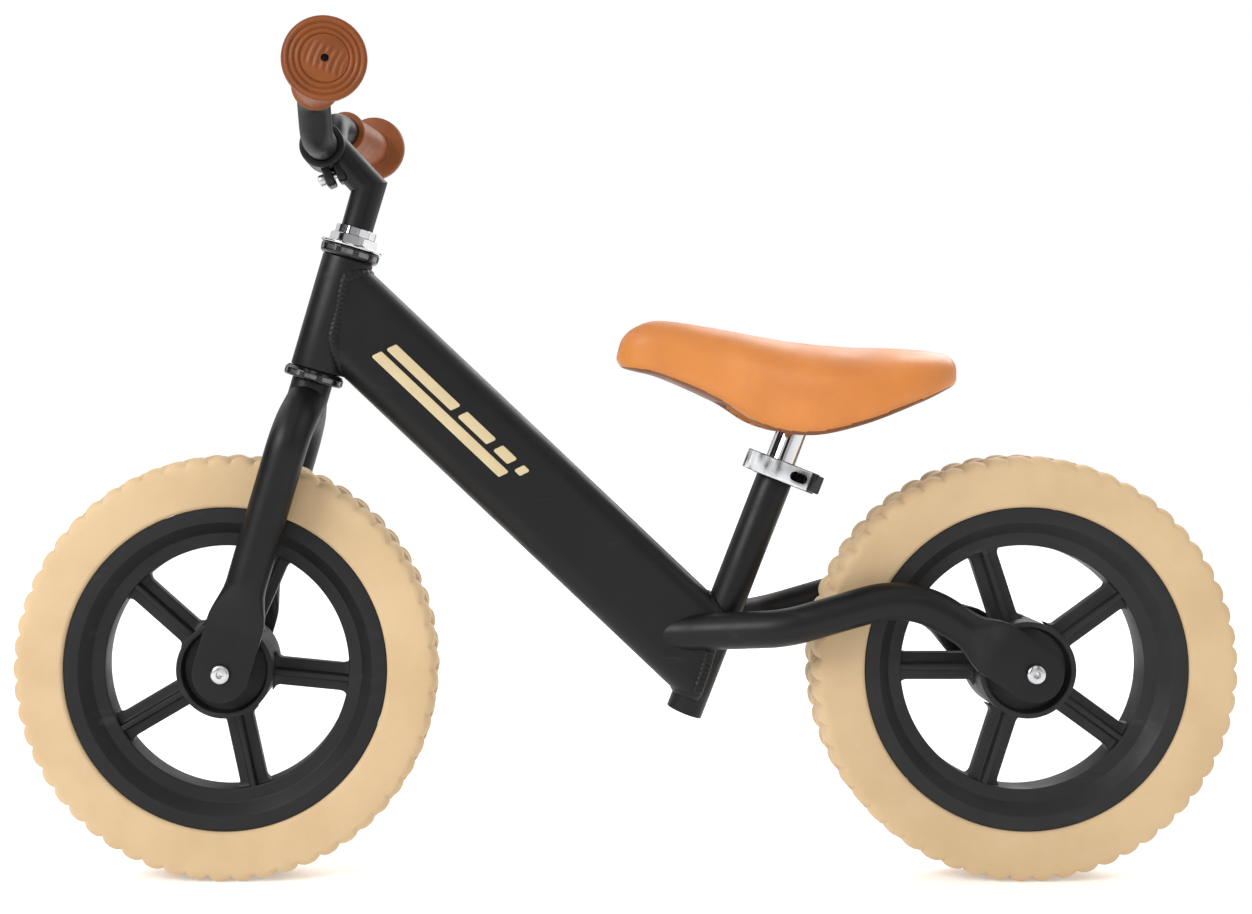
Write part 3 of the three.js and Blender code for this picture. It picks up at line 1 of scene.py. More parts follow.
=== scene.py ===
"""Looks of a child's balance bike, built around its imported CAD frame.

Lengths are in millimetres inside the classes and in metres in the scene. Each sub-assembly has its own local
axes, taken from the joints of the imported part.
"""

import json
import logging
import math
from collections.abc import Callable, Sequence
from dataclasses import dataclass
from enum import Enum

import bmesh
import bpy
from mathutils import Matrix, Vector


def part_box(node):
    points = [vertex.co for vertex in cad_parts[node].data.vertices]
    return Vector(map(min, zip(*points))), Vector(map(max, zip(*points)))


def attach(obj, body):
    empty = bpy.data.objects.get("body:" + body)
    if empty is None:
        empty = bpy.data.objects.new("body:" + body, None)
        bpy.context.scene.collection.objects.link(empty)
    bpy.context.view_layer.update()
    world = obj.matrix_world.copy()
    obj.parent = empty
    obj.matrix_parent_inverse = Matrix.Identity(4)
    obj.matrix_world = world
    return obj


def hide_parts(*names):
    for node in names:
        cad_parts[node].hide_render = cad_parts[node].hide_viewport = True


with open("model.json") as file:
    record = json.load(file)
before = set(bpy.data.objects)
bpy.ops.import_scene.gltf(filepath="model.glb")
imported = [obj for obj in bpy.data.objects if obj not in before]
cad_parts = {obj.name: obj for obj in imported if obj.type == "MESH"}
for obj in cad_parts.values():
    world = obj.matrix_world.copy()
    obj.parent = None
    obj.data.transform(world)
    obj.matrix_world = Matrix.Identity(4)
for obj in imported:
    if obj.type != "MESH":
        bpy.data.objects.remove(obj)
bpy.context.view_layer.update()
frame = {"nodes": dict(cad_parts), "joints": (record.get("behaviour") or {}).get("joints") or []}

LOG = logging.getLogger("balance_bike")
MM = 0.001
FULL_TURN = 2 * math.pi

Outline = list[tuple[float, float]]
Corner = tuple[float, float, float]
ORIGIN = Matrix.Identity(4)


# ---------------------------------------------------------------- axes

@dataclass(frozen=True)
class Axes:
    """Local axes: x stays the rider's left, z runs along a given direction, and y is square to both."""

    origin: Vector
    along: Vector

    def matrix(self) -> Matrix:
        """Gives the matrix from local millimetres to the scene's metres.

        Returns:
            The matrix.
        """
        z = self.along.normalized()
        x = (Vector((1, 0, 0)) - z * z.x).normalized()
        y = z.cross(x)
        turn = Matrix((x, y, z)).transposed().to_4x4()
        return Matrix.Translation(self.origin) @ turn @ Matrix.Scale(MM, 4)


def joint(name: str) -> dict:
    """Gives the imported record's joint of that name."""
    return next(item for item in frame["joints"] if item["name"] == name)


def joint_axes(name: str) -> Matrix:
    """Gives the local axes along a joint's own axis, with their origin at the joint."""
    found = joint(name)
    return Axes(Vector(found["pos_m"]), Vector(found["axis"])).matrix()


def upright(point: Sequence[float]) -> Matrix:
    """Gives local axes that are parallel to the bike's, at a point in metres."""
    return Matrix.Translation(Vector(point)) @ Matrix.Scale(MM, 4)


def move(x: float, y: float, z: float) -> Matrix:
    """Gives a shift in millimetres."""
    return Matrix.Translation((x, y, z))


def turn(degrees: float, axis: str) -> Matrix:
    """Gives a turn about one local axis."""
    return Matrix.Rotation(math.radians(degrees), 4, axis)


def seating_axes() -> Matrix:
    """Gives the seat tube's local axes, with their origin at the tube's foot."""
    return Axes(Vector((0, 0.0422, 0.1148)), Vector(joint("seat_height")["axis"])).matrix()


MIRROR = Matrix.Scale(-1, 4, (1, 0, 0))


# ---------------------------------------------------------------- flat outlines

def rounded(corners: Sequence[Corner], steps: int = 4, closed: bool = True) -> Outline:
    """Rounds the corners of a flat outline.

    Args:
        corners: each corner's two coordinates and the radius of its rounding.
        steps: how many steps an arc has.
        closed: whether the outline joins its own start.

    Returns:
        The outline's points in order.
    """
    points: Outline = []
    count = len(corners)
    for index, (first, second, radius) in enumerate(corners):
        at_end = not closed and index in (0, count - 1)
        here = Vector((first, second))
        back = Vector(corners[index - 1][:2]) - here
        ahead = Vector(corners[(index + 1) % count][:2]) - here
        if at_end or radius <= 0 or back.length < 1e-6 or ahead.length < 1e-6:
            points.append((first, second))
            continue
        angle = back.angle(ahead)
        if angle > math.pi - 0.01:
            points.append((first, second))
            continue
        reach = min(radius / math.tan(angle / 2), 0.49 * back.length, 0.49 * ahead.length)
        radius = reach * math.tan(angle / 2)
        back.normalize()
        ahead.normalize()
        centre = here + (back + ahead).normalized() * radius / math.sin(angle / 2)
        begin = here + back * reach - centre
        finish = here + ahead * reach - centre
        from_angle = math.atan2(begin.y, begin.x)
        sweep = math.atan2(finish.y, finish.x) - from_angle
        sweep = (sweep + math.pi) % FULL_TURN - math.pi
        for step in range(steps + 1):
            at = from_angle + sweep * step / steps
            points.append((centre.x + radius * math.cos(at), centre.y + radius * math.sin(at)))
    return points


def circle(radius: float, steps: int = 40, start: float = 0.0) -> Outline:
    """Gives a round outline."""
    angles = [start + FULL_TURN * step / steps for step in range(steps)]
    return [(radius * math.cos(angle), radius * math.sin(angle)) for angle in angles]


def rectangle(width: float, height: float, radius: float, steps: int = 5) -> Outline:
    """Gives a rectangle with rounded corners, centred on its middle.

    Args:
        width: its whole width.
        height: its whole height.
        radius: the corners' radius.
        steps: how many steps a corner has.

    Returns:
        The outline's points, anticlockwise.
    """
    half_w = width / 2
    half_h = height / 2
    signs = ((-1, -1), (1, -1), (1, 1), (-1, 1))
    return rounded([(a * half_w, b * half_h, radius) for a, b in signs], steps)


def inset(outline: Outline, distance: float) -> Outline:
    """Moves an anticlockwise outline inwards by a distance.

    Args:
        outline: the outline.
        distance: how far it moves inwards.

    Returns:
        The outline with as many points as before.
    """
    result: Outline = []
    count = len(outline)
    for index in range(count):
        here = Vector(outline[index])
        arrive = (here - Vector(outline[index - 1])).normalized()
        leave = (Vector(outline[(index + 1) % count]) - here).normalized()
        middle = (arrive + leave).normalized()
        lean = max(0.35, middle.dot(leave))
        inward = Vector((-middle.y, middle.x))
        result.append(tuple(here + inward * distance / lean))
    return result


def smooth_line(points: Sequence[Sequence[float]], steps: int) -> list[Vector]:
    """Runs a smooth curve through points.

    Args:
        points: the points that the curve passes through.
        steps: how many steps there are from one point to the next.

    Returns:
        The curve's points, with the first and last as given.
    """
    known = [Vector(point) for point in points]
    padded = [2 * known[0] - known[1], *known, 2 * known[-1] - known[-2]]
    line: list[Vector] = []
    for index in range(1, len(padded) - 2):
        a, b, c, d = padded[index - 1:index + 3]
        for step in range(steps):
            t = step / steps
            line.append(0.5 * (2 * b + (c - a) * t + (2 * a - 5 * b + 4 * c - d) * t * t
                               + (3 * b - a - 3 * c + d) * t ** 3))
    line.append(known[-1])
    return line


def bent_line(corners: Sequence[tuple[Sequence[float], float]], steps: int = 8) -> list[Vector]:
    """Joins corners with straight lines and rounds each corner with its own bend radius.

    Args:
        corners: each corner's point and its bend radius.
        steps: how many steps a bend has.

    Returns:
        The line's points in order.
    """
    line = [Vector(corners[0][0])]
    for index in range(1, len(corners) - 1):
        here = Vector(corners[index][0])
        back = Vector(corners[index - 1][0]) - here
        ahead = Vector(corners[index + 1][0]) - here
        angle = back.angle(ahead)
        radius = corners[index][1]
        reach = min(radius / math.tan(angle / 2), 0.48 * back.length, 0.48 * ahead.length)
        radius = reach * math.tan(angle / 2)
        back.normalize()
        ahead.normalize()
        centre = here + (back + ahead).normalized() * radius / math.sin(angle / 2)
        begin = here + back * reach - centre
        finish = here + ahead * reach - centre
        axis = begin.cross(finish)
        swing = begin.angle(finish)
        for step in range(steps + 1):
            line.append(centre + Matrix.Rotation(swing * step / steps, 3, axis) @ begin)
    line.append(Vector(corners[-1][0]))
    return line


def spread_along(line: Sequence[Vector], pitch: float) -> list[Vector]:
    """Adds points to a line so that no step is longer than the pitch.

    Args:
        line: the line.
        pitch: the longest step.

    Returns:
        The line with its added points.
    """
    result = [line[0]]
    for here, there in zip(line, line[1:]):
        count = max(1, math.ceil((there - here).length / pitch))
        result.extend(here.lerp(there, step / count) for step in range(1, count + 1))
    return result


def share(value: float, low: float, high: float) -> float:
    """Gives how far a value is from low to high, eased at both ends, from 0 to 1."""
    part = min(1.0, max(0.0, (value - low) / (high - low)))
    return part * part * (3 - 2 * part)


# ---------------------------------------------------------------- surfaces

SectionAt = Callable[[float, float], Outline]


class Shell:
    """Collects the closed surfaces of one piece and makes its object."""

    def __init__(self, name: str, place: Matrix) -> None:
        """Starts an empty piece with its name and local axes.

        Args:
            name: the piece's name.
            place: its local axes.
        """
        self.name = name
        self.place = place
        self.mesh = bmesh.new()

    def rings(self, rings: Sequence[Sequence[Vector]], loop: bool = False, caps: bool = True,
              closed: bool = True, place: Matrix = ORIGIN) -> "Shell":
        """Skins a row of rings that have the same number of points.

        Args:
            rings: the rings, each a list of points.
            loop: whether the last ring joins the first.
            caps: whether the first and last rings are filled.
            closed: whether each ring joins its own start.
            place: where the surface goes in the piece's local axes.

        Returns:
            The shell itself.
        """
        rows = [[self.mesh.verts.new(place @ Vector(point)) for point in ring] for ring in rings]
        pairs = list(zip(rows, rows[1:]))
        if loop:
            pairs.append((rows[-1], rows[0]))
        count = len(rows[0])
        last = count if closed else count - 1
        for here, there in pairs:
            for index in range(last):
                following = (index + 1) % count
                self.mesh.faces.new((here[index], here[following], there[following], there[index]))
        if caps and not loop:
            self.mesh.faces.new(list(reversed(rows[0])))
            self.mesh.faces.new(rows[-1])
        return self

    def lathe(self, profile: Outline, steps: int = 72, closed: bool = True, place: Matrix = ORIGIN,
              shape: Callable[[float, float, float], tuple[float, float]] | None = None) -> "Shell":
        """Turns a profile of radius and height about the local z axis.

        Args:
            profile: points of radius and height.
            steps: how many steps go round.
            closed: whether the profile joins its own start, as in a ring.
            place: where the surface goes in the piece's local axes.
            shape: changes a point's radius and height from its angle, radius and height.

        Returns:
            The shell itself.
        """
        rings = []
        for step in range(steps):
            angle = FULL_TURN * step / steps
            ring = []
            for radius, height in profile:
                if shape:
                    radius, height = shape(angle, radius, height)
                ring.append(Vector((radius * math.cos(angle), radius * math.sin(angle), height)))
            rings.append(ring)
        return self.rings(rings, loop=True, caps=False, closed=closed, place=place)

    def sweep(self, line: Sequence[Vector], section: SectionAt, up: Vector, loop: bool = False,
              place: Matrix = ORIGIN) -> "Shell":
        """Sweeps a section along a line, mitred where the line turns.

        Args:
            line: the line's points.
            section: gives the outline from the distance along the line and the line's whole length.
            up: the direction that the section's second coordinate starts along.
            loop: whether the line joins its own start.
            place: where the surface goes in the piece's local axes.

        Returns:
            The shell itself.
        """
        count = len(line)
        lengths = [0.0]
        for here, there in zip(line, line[1:]):
            lengths.append(lengths[-1] + (there - here).length)
        rings = []
        normal = up.copy()
        for index, here in enumerate(line):
            back = here - line[index - 1] if index or loop else line[1] - here
            ahead = line[(index + 1) % count] - here if index < count - 1 or loop else back
            back = back.normalized()
            ahead = ahead.normalized()
            middle = (back + ahead).normalized()
            normal = (normal - middle * normal.dot(middle)).normalized()
            across = normal.cross(middle)
            bend = ahead - back
            stretch = 1 / max(0.5, middle.dot(ahead)) - 1
            bend = bend.normalized() if bend.length > 1e-6 else Vector((0, 0, 0))
            ring = []
            for first, second in section(lengths[index], lengths[-1]):
                offset = across * first + normal * second
                ring.append(here + offset + bend * offset.dot(bend) * stretch)
            rings.append(ring)
        return self.rings(rings, loop=loop, caps=not loop, place=place)

    def prism(self, outline: Outline, low: float, high: float, edge: float = 0.5,
              place: Matrix = ORIGIN, steps: int = 3) -> "Shell":
        """Raises an outline from one height to another, with rounded rims.

        Args:
            outline: an anticlockwise outline.
            low: the lower height.
            high: the upper height.
            edge: the radius of the rims' rounding.
            place: where the surface goes in the piece's local axes.
            steps: how many steps a rim's rounding has.

        Returns:
            The shell itself.
        """
        rings = []
        for step in range(steps + 1):
            angle = math.pi / 2 * step / steps
            drawn_in = edge * (1 - math.sin(angle))
            rings.append((drawn_in, low + edge * (1 - math.cos(angle))))
        rings += [(drawn_in, low + high - height) for drawn_in, height in reversed(rings)]
        skins = [[Vector((a, b, height)) for a, b in inset(outline, drawn_in)] for drawn_in, height in rings]
        return self.rings(skins, place=place)

    def make(self, sharp: float = 38.0, merge: float = 0.003) -> bpy.types.Object:
        """Makes the object, with smooth shading broken at sharp edges.

        Args:
            sharp: the angle in degrees above which an edge stays sharp.
            merge: the distance below which points are joined.

        Returns:
            The new object, in the scene's collection.
        """
        bmesh.ops.remove_doubles(self.mesh, verts=self.mesh.verts, dist=merge)
        self.mesh.transform(self.place)
        bmesh.ops.recalc_face_normals(self.mesh, faces=self.mesh.faces)
        data = bpy.data.meshes.new(self.name)
        self.mesh.to_mesh(data)
        self.mesh.free()
        data.shade_smooth()
        data.set_sharp_from_angle(angle=math.radians(sharp))
        piece = bpy.data.objects.new(self.name, data)
        bpy.context.scene.collection.objects.link(piece)
        return piece


def tube_section(radius: float, steps: int = 40) -> SectionAt:
    """Gives a round section of one radius for a sweep."""
    outline = circle(radius, steps)
    return lambda distance, length: outline


def settle_modifiers(piece: bpy.types.Object) -> None:
    """Turns a piece's modifiers into its own mesh.

    Args:
        piece: the piece.
    """
    graph = bpy.context.evaluated_depsgraph_get()
    shaped = bpy.data.meshes.new_from_object(piece.evaluated_get(graph))
    piece.modifiers.clear()
    piece.data = shaped


def cut(piece: bpy.types.Object, cutter: bpy.types.Object) -> None:
    """Cuts one piece's shape out of another and removes the cutter.

    Args:
        piece: the piece that is cut.
        cutter: the shape that is taken away.
    """
    modifier = piece.modifiers.new("cut", "BOOLEAN")
    modifier.object = cutter
    modifier.solver = "EXACT"
    settle_modifiers(piece)
    bpy.data.objects.remove(cutter)
    piece.data.set_sharp_from_angle(angle=math.radians(38))


# ---------------------------------------------------------------- finishes

class GroupName(Enum):
    """The shared effects that the materials place."""

    TONE_DRIFT = "tone_drift"
    GLOSS_DRIFT = "gloss_drift"
    FINE_GRAIN = "fine_grain"
    PEBBLE_GRAIN = "pebble_grain"
    BRUSHED_LINES = "brushed_lines"
    SCUFFS = "scuffs"


class SurfaceGroups:
    """Builds each shared effect once as a node group."""

    def __init__(self) -> None:
        """Starts with no group built."""
        self.built: dict[GroupName, bpy.types.NodeTree] = {}

    def get(self, name: GroupName) -> bpy.types.NodeTree:
        """Gives a group, and builds it on its first use."""
        if name not in self.built:
            makers = {
                GroupName.TONE_DRIFT: self._tone_drift,
                GroupName.GLOSS_DRIFT: self._gloss_drift,
                GroupName.FINE_GRAIN: self._fine_grain,
                GroupName.PEBBLE_GRAIN: self._pebble_grain,
                GroupName.BRUSHED_LINES: self._brushed_lines,
                GroupName.SCUFFS: self._scuffs,
            }
            self.built[name] = makers[name](name.value)
        return self.built[name]

    @staticmethod
    def _start(name: str, inputs: dict[str, float | tuple], outputs: dict[str, str]) -> tuple:
        """Starts a group with its sockets.

        Args:
            name: the group's name.
            inputs: each input's name and its first value, a number or a colour.
            outputs: each output's name and socket type.

        Returns:
            The group, its input node, its output node and its object coordinates.
        """
        tree = bpy.data.node_groups.new(name, "ShaderNodeTree")
        for label, value in inputs.items():
            kind = "NodeSocketColor" if isinstance(value, tuple) else "NodeSocketFloat"
            socket = tree.interface.new_socket(label, in_out="INPUT", socket_type=kind)
            socket.default_value = value
        for label, kind in outputs.items():
            tree.interface.new_socket(label, in_out="OUTPUT", socket_type=kind)
        inlet = tree.nodes.new("NodeGroupInput")
        outlet = tree.nodes.new("NodeGroupOutput")
        place = tree.nodes.new("ShaderNodeTexCoord")
        return tree, inlet, outlet, place.outputs["Object"]

    @staticmethod
    def _noise(tree: bpy.types.NodeTree, where: bpy.types.NodeSocket, scale: bpy.types.NodeSocket,
               detail: float = 3.0) -> bpy.types.Node:
        """Adds a noise texture that reads coordinates and a scale socket.

        Args:
            tree: the group.
            where: the coordinates.
            scale: the socket of the noise's scale.
            detail: how many finer layers it has.

        Returns:
            The new node.
        """
        noise = tree.nodes.new("ShaderNodeTexNoise")
        noise.inputs["Detail"].default_value = detail
        tree.links.new(where, noise.inputs["Vector"])
        tree.links.new(scale, noise.inputs["Scale"])
        return noise

    @staticmethod
    def _range(tree: bpy.types.NodeTree, value: bpy.types.NodeSocket, low: float, high: float,
               to_low: float | bpy.types.NodeSocket = 0.0,
               to_high: float | bpy.types.NodeSocket = 1.0) -> bpy.types.NodeSocket:
        """Adds a smooth map of a value from one range to another, and gives its output.

        Args:
            tree: the group.
            value: the value.
            low: the range's low end.
            high: the range's high end.
            to_low: what the low end gives, a number or a socket.
            to_high: what the high end gives, a number or a socket.

        Returns:
            The output.
        """
        node = tree.nodes.new("ShaderNodeMapRange")
        node.interpolation_type = "SMOOTHSTEP"
        tree.links.new(value, node.inputs["Value"])
        node.inputs["From Min"].default_value = low
        node.inputs["From Max"].default_value = high
        for label, bound in (("To Min", to_low), ("To Max", to_high)):
            if isinstance(bound, bpy.types.NodeSocket):
                tree.links.new(bound, node.inputs[label])
            else:
                node.inputs[label].default_value = bound
        return node.outputs["Result"]

    def _tone_drift(self, name: str) -> bpy.types.NodeTree:
        """Drifts between two colours in soft patches.

        Args:
            name: the group's name.

        Returns:
            The new group.
        """
        tree, inlet, outlet, where = self._start(
            name, {"Colour": (0.5, 0.5, 0.5, 1.0), "Shade": (0.4, 0.4, 0.4, 1.0), "Patches": 30.0},
            {"Colour": "NodeSocketColor"})
        noise = self._noise(tree, where, inlet.outputs["Patches"], 5.0)
        mask = self._range(tree, noise.outputs["Fac"], 0.32, 0.7)
        mix = tree.nodes.new("ShaderNodeMix")
        mix.data_type = "RGBA"
        tree.links.new(mask, mix.inputs["Factor"])
        tree.links.new(inlet.outputs["Colour"], mix.inputs["A"])
        tree.links.new(inlet.outputs["Shade"], mix.inputs["B"])
        tree.links.new(mix.outputs["Result"], outlet.inputs["Colour"])
        return tree

    def _gloss_drift(self, name: str) -> bpy.types.NodeTree:
        """Varies the roughness between two values in patches of two sizes.

        Args:
            name: the group's name.

        Returns:
            The new group.
        """
        tree, inlet, outlet, where = self._start(
            name, {"Low": 0.3, "High": 0.5, "Patches": 40.0}, {"Roughness": "NodeSocketFloat"})
        noise = self._noise(tree, where, inlet.outputs["Patches"], 6.0)
        rough = self._range(tree, noise.outputs["Fac"], 0.3, 0.72,
                            inlet.outputs["Low"], inlet.outputs["High"])
        tree.links.new(rough, outlet.inputs["Roughness"])
        return tree

    def _fine_grain(self, name: str) -> bpy.types.NodeTree:
        """Gives the height of a fine even grain.

        Args:
            name: the group's name.

        Returns:
            The new group.
        """
        tree, inlet, outlet, where = self._start(
            name, {"Grain": 900.0, "Waves": 120.0, "Wave Share": 0.4}, {"Height": "NodeSocketFloat"})
        grain = self._noise(tree, where, inlet.outputs["Grain"], 2.0)
        waves = self._noise(tree, where, inlet.outputs["Waves"], 1.0)
        mix = tree.nodes.new("ShaderNodeMix")
        tree.links.new(inlet.outputs["Wave Share"], mix.inputs["Factor"])
        tree.links.new(grain.outputs["Fac"], mix.inputs["A"])
        tree.links.new(waves.outputs["Fac"], mix.inputs["B"])
        tree.links.new(mix.outputs["Result"], outlet.inputs["Height"])
        return tree

    def _pebble_grain(self, name: str) -> bpy.types.NodeTree:
        """Gives the height of a pebbled hide or foam skin, and a mask of the creases between pebbles.

        Args:
            name: the group's name.

        Returns:
            The new group.
        """
        tree, inlet, outlet, where = self._start(
            name, {"Pebbles": 700.0}, {"Height": "NodeSocketFloat", "Creases": "NodeSocketFloat"})
        cells = tree.nodes.new("ShaderNodeTexVoronoi")
        cells.feature = "SMOOTH_F1"
        cells.inputs["Smoothness"].default_value = 0.35
        tree.links.new(where, cells.inputs["Vector"])
        tree.links.new(inlet.outputs["Pebbles"], cells.inputs["Scale"])
        height = self._range(tree, cells.outputs["Distance"], 0.15, 0.75, 1.0, 0.0)
        creases = self._range(tree, cells.outputs["Distance"], 0.45, 0.8)
        tree.links.new(height, outlet.inputs["Height"])
        tree.links.new(creases, outlet.inputs["Creases"])
        return tree

    def _brushed_lines(self, name: str) -> bpy.types.NodeTree:
        """Gives the height of fine lines left by brushing, along the bike's length.

        Args:
            name: the group's name.

        Returns:
            The new group.
        """
        tree, inlet, outlet, where = self._start(
            name, {"Lines": 1500.0}, {"Height": "NodeSocketFloat"})
        stretch = tree.nodes.new("ShaderNodeMapping")
        stretch.inputs["Scale"].default_value = (1.0, 0.04, 1.0)
        tree.links.new(where, stretch.inputs["Vector"])
        noise = self._noise(tree, stretch.outputs["Vector"], inlet.outputs["Lines"], 2.0)
        tree.links.new(noise.outputs["Fac"], outlet.inputs["Height"])
        return tree

    def _scuffs(self, name: str) -> bpy.types.NodeTree:
        """Gives a mask of sparse short scuffs and specks.

        Args:
            name: the group's name.

        Returns:
            The new group.
        """
        tree, inlet, outlet, where = self._start(
            name, {"Scuffs": 60.0, "Strength": 0.3}, {"Mask": "NodeSocketFloat"})
        stretch = tree.nodes.new("ShaderNodeMapping")
        stretch.inputs["Scale"].default_value = (1.0, 0.35, 1.6)
        tree.links.new(where, stretch.inputs["Vector"])
        noise = self._noise(tree, stretch.outputs["Vector"], inlet.outputs["Scuffs"], 8.0)
        mask = self._range(tree, noise.outputs["Fac"], 0.62, 0.74, 0.0, inlet.outputs["Strength"])
        tree.links.new(mask, outlet.inputs["Mask"])
        return tree


GROUPS = SurfaceGroups()


class Grain(Enum):
    """The kinds of fine relief that a finish can have."""

    SMOOTH = "smooth"
    FINE = "fine"
    PEBBLED = "pebbled"
    BRUSHED = "brushed"


@dataclass(frozen=True)
class Finish:
    """One finish: its colours, gloss and fine relief. Patch and grain sizes are cycles a metre."""

    name: str
    colour: tuple[float, float, float]
    shade: tuple[float, float, float]
    rough_low: float
    rough_high: float
    metallic: float = 0.0
    coat: float = 0.0
    sheen: float = 0.0
    specular: float = 0.5
    glow: float = 0.0
    grain: Grain = Grain.FINE
    grain_size: float = 900.0
    relief_mm: float = 0.02
    patches: float = 30.0
    scuffs: float = 0.0
    scuff_colour: tuple[float, float, float] = (0.3, 0.3, 0.3)

    def material(self) -> bpy.types.Material:
        """Gives the finish's material, and builds it on its first use.

        Returns:
            The material.
        """
        found = bpy.data.materials.get(self.name)
        if found:
            return found
        material = bpy.data.materials.new(self.name)
        material.use_nodes = True
        tree = material.node_tree
        shader = tree.nodes["Principled BSDF"]
        shader.inputs["Metallic"].default_value = self.metallic
        shader.inputs["Coat Weight"].default_value = self.coat
        shader.inputs["Coat Roughness"].default_value = 0.08
        shader.inputs["Sheen Weight"].default_value = self.sheen
        shader.inputs["Specular IOR Level"].default_value = self.specular
        shader.inputs["Emission Color"].default_value = (1.0, 1.0, 1.0, 1.0)
        shader.inputs["Emission Strength"].default_value = self.glow
        tone = self._place(tree, GroupName.TONE_DRIFT, {
            "Colour": (*self.colour, 1.0), "Shade": (*self.shade, 1.0), "Patches": self.patches})
        colour = tone.outputs["Colour"]
        if self.scuffs:
            colour = self._scuffed(tree, colour)
        tree.links.new(colour, shader.inputs["Base Color"])
        gloss = self._place(tree, GroupName.GLOSS_DRIFT, {
            "Low": self.rough_low, "High": self.rough_high, "Patches": self.patches * 1.7})
        tree.links.new(gloss.outputs["Roughness"], shader.inputs["Roughness"])
        self._relief(tree, shader)
        return material

    @staticmethod
    def _place(tree: bpy.types.NodeTree, name: GroupName, values: dict) -> bpy.types.Node:
        """Places a shared group in a material with this finish's own values.

        Args:
            tree: the material's nodes.
            name: the group.
            values: the value of each of the group's inputs.

        Returns:
            The new node.
        """
        node = tree.nodes.new("ShaderNodeGroup")
        node.node_tree = GROUPS.get(name)
        for label, value in values.items():
            node.inputs[label].default_value = value
        return node

    def _scuffed(self, tree: bpy.types.NodeTree, colour: bpy.types.NodeSocket) -> bpy.types.NodeSocket:
        """Lays sparse scuffs over the colour, and gives the mixed colour.

        Args:
            tree: the material's nodes.
            colour: the colour below the scuffs.

        Returns:
            The mixed colour.
        """
        scuffs = self._place(tree, GroupName.SCUFFS, {"Strength": self.scuffs})
        mix = tree.nodes.new("ShaderNodeMix")
        mix.data_type = "RGBA"
        tree.links.new(scuffs.outputs["Mask"], mix.inputs["Factor"])
        tree.links.new(colour, mix.inputs["A"])
        mix.inputs["B"].default_value = (*self.scuff_colour, 1.0)
        return mix.outputs["Result"]

    def _relief(self, tree: bpy.types.NodeTree, shader: bpy.types.Node) -> None:
        """Adds the finish's fine relief as a bump.

        Args:
            tree: the material's nodes.
            shader: the shader that takes the bump.
        """
        if self.grain is Grain.SMOOTH:
            waves = {"Grain": 260.0, "Waves": 45.0, "Wave Share": 0.85}
            relief = self._place(tree, GroupName.FINE_GRAIN, waves)
        elif self.grain is Grain.FINE:
            relief = self._place(tree, GroupName.FINE_GRAIN, {"Grain": self.grain_size})
        elif self.grain is Grain.PEBBLED:
            relief = self._place(tree, GroupName.PEBBLE_GRAIN, {"Pebbles": self.grain_size})
        else:
            relief = self._place(tree, GroupName.BRUSHED_LINES, {"Lines": self.grain_size})
        bump = tree.nodes.new("ShaderNodeBump")
        bump.inputs["Strength"].default_value = 1.0
        bump.inputs["Distance"].default_value = self.relief_mm * MM
        tree.links.new(relief.outputs["Height"], bump.inputs["Height"])
        tree.links.new(bump.outputs["Normal"], shader.inputs["Normal"])

    def dress(self, piece: bpy.types.Object) -> bpy.types.Object:
        """Gives a piece this finish alone."""
        piece.data.materials.clear()
        piece.data.materials.append(self.material())
        return piece


SATIN_PAINT = Finish("satin_black_paint", (0.0065, 0.0065, 0.0069), (0.0050, 0.0050, 0.0053), 0.38, 0.48,
                     specular=0.25, grain=Grain.SMOOTH, relief_mm=0.008, scuffs=0.03)
GLOSS_BLACK = Finish("gloss_black_steel", (0.006, 0.006, 0.0065), (0.004, 0.004, 0.0045), 0.16, 0.26,
                     specular=0.45, grain=Grain.SMOOTH, relief_mm=0.02, scuffs=0.05)
BAR_BLACK = Finish("bar_black_coating", (0.0065, 0.0065, 0.0069), (0.005, 0.005, 0.0053), 0.34, 0.45,
                   specular=0.28, grain=Grain.SMOOTH, relief_mm=0.02)
RIM_PLASTIC = Finish("moulded_black_plastic", (0.009, 0.009, 0.0095), (0.007, 0.007, 0.0074), 0.46, 0.58,
                     specular=0.3, grain=Grain.FINE, grain_size=1400.0, relief_mm=0.03, scuffs=0.04)
REAR_PLASTIC = Finish("moulded_grey_black_plastic", (0.014, 0.014, 0.0145), (0.011, 0.011, 0.0115), 0.46, 0.6,
                      specular=0.32, grain=Grain.FINE, grain_size=1400.0, relief_mm=0.03, scuffs=0.04)
WINDOW_GREY = Finish("window_grey_steel", (0.16, 0.16, 0.165), (0.11, 0.11, 0.115), 0.22, 0.34, metallic=0.6,
                     grain=Grain.SMOOTH, relief_mm=0.01)
CHROME = Finish("bright_chrome", (0.62, 0.62, 0.63), (0.54, 0.54, 0.56), 0.06, 0.13, metallic=1.0,
                grain=Grain.SMOOTH, relief_mm=0.01)
ZINC = Finish("zinc_plate", (0.62, 0.62, 0.63), (0.50, 0.50, 0.52), 0.22, 0.38, metallic=1.0,
              grain=Grain.FINE, grain_size=1800.0, relief_mm=0.01, patches=120.0)
ALLOY = Finish("brushed_alloy", (0.72, 0.73, 0.75), (0.60, 0.61, 0.63), 0.20, 0.34, metallic=1.0,
               grain=Grain.BRUSHED, grain_size=1600.0, relief_mm=0.02, patches=60.0)
TYRE_FOAM = Finish("cream_foam", (0.60, 0.43, 0.245), (0.55, 0.385, 0.21), 0.62, 0.78, sheen=0.1,
                   grain=Grain.PEBBLED, grain_size=1300.0, relief_mm=0.05, patches=22.0, scuffs=0.10,
                   scuff_colour=(0.56, 0.38, 0.19))
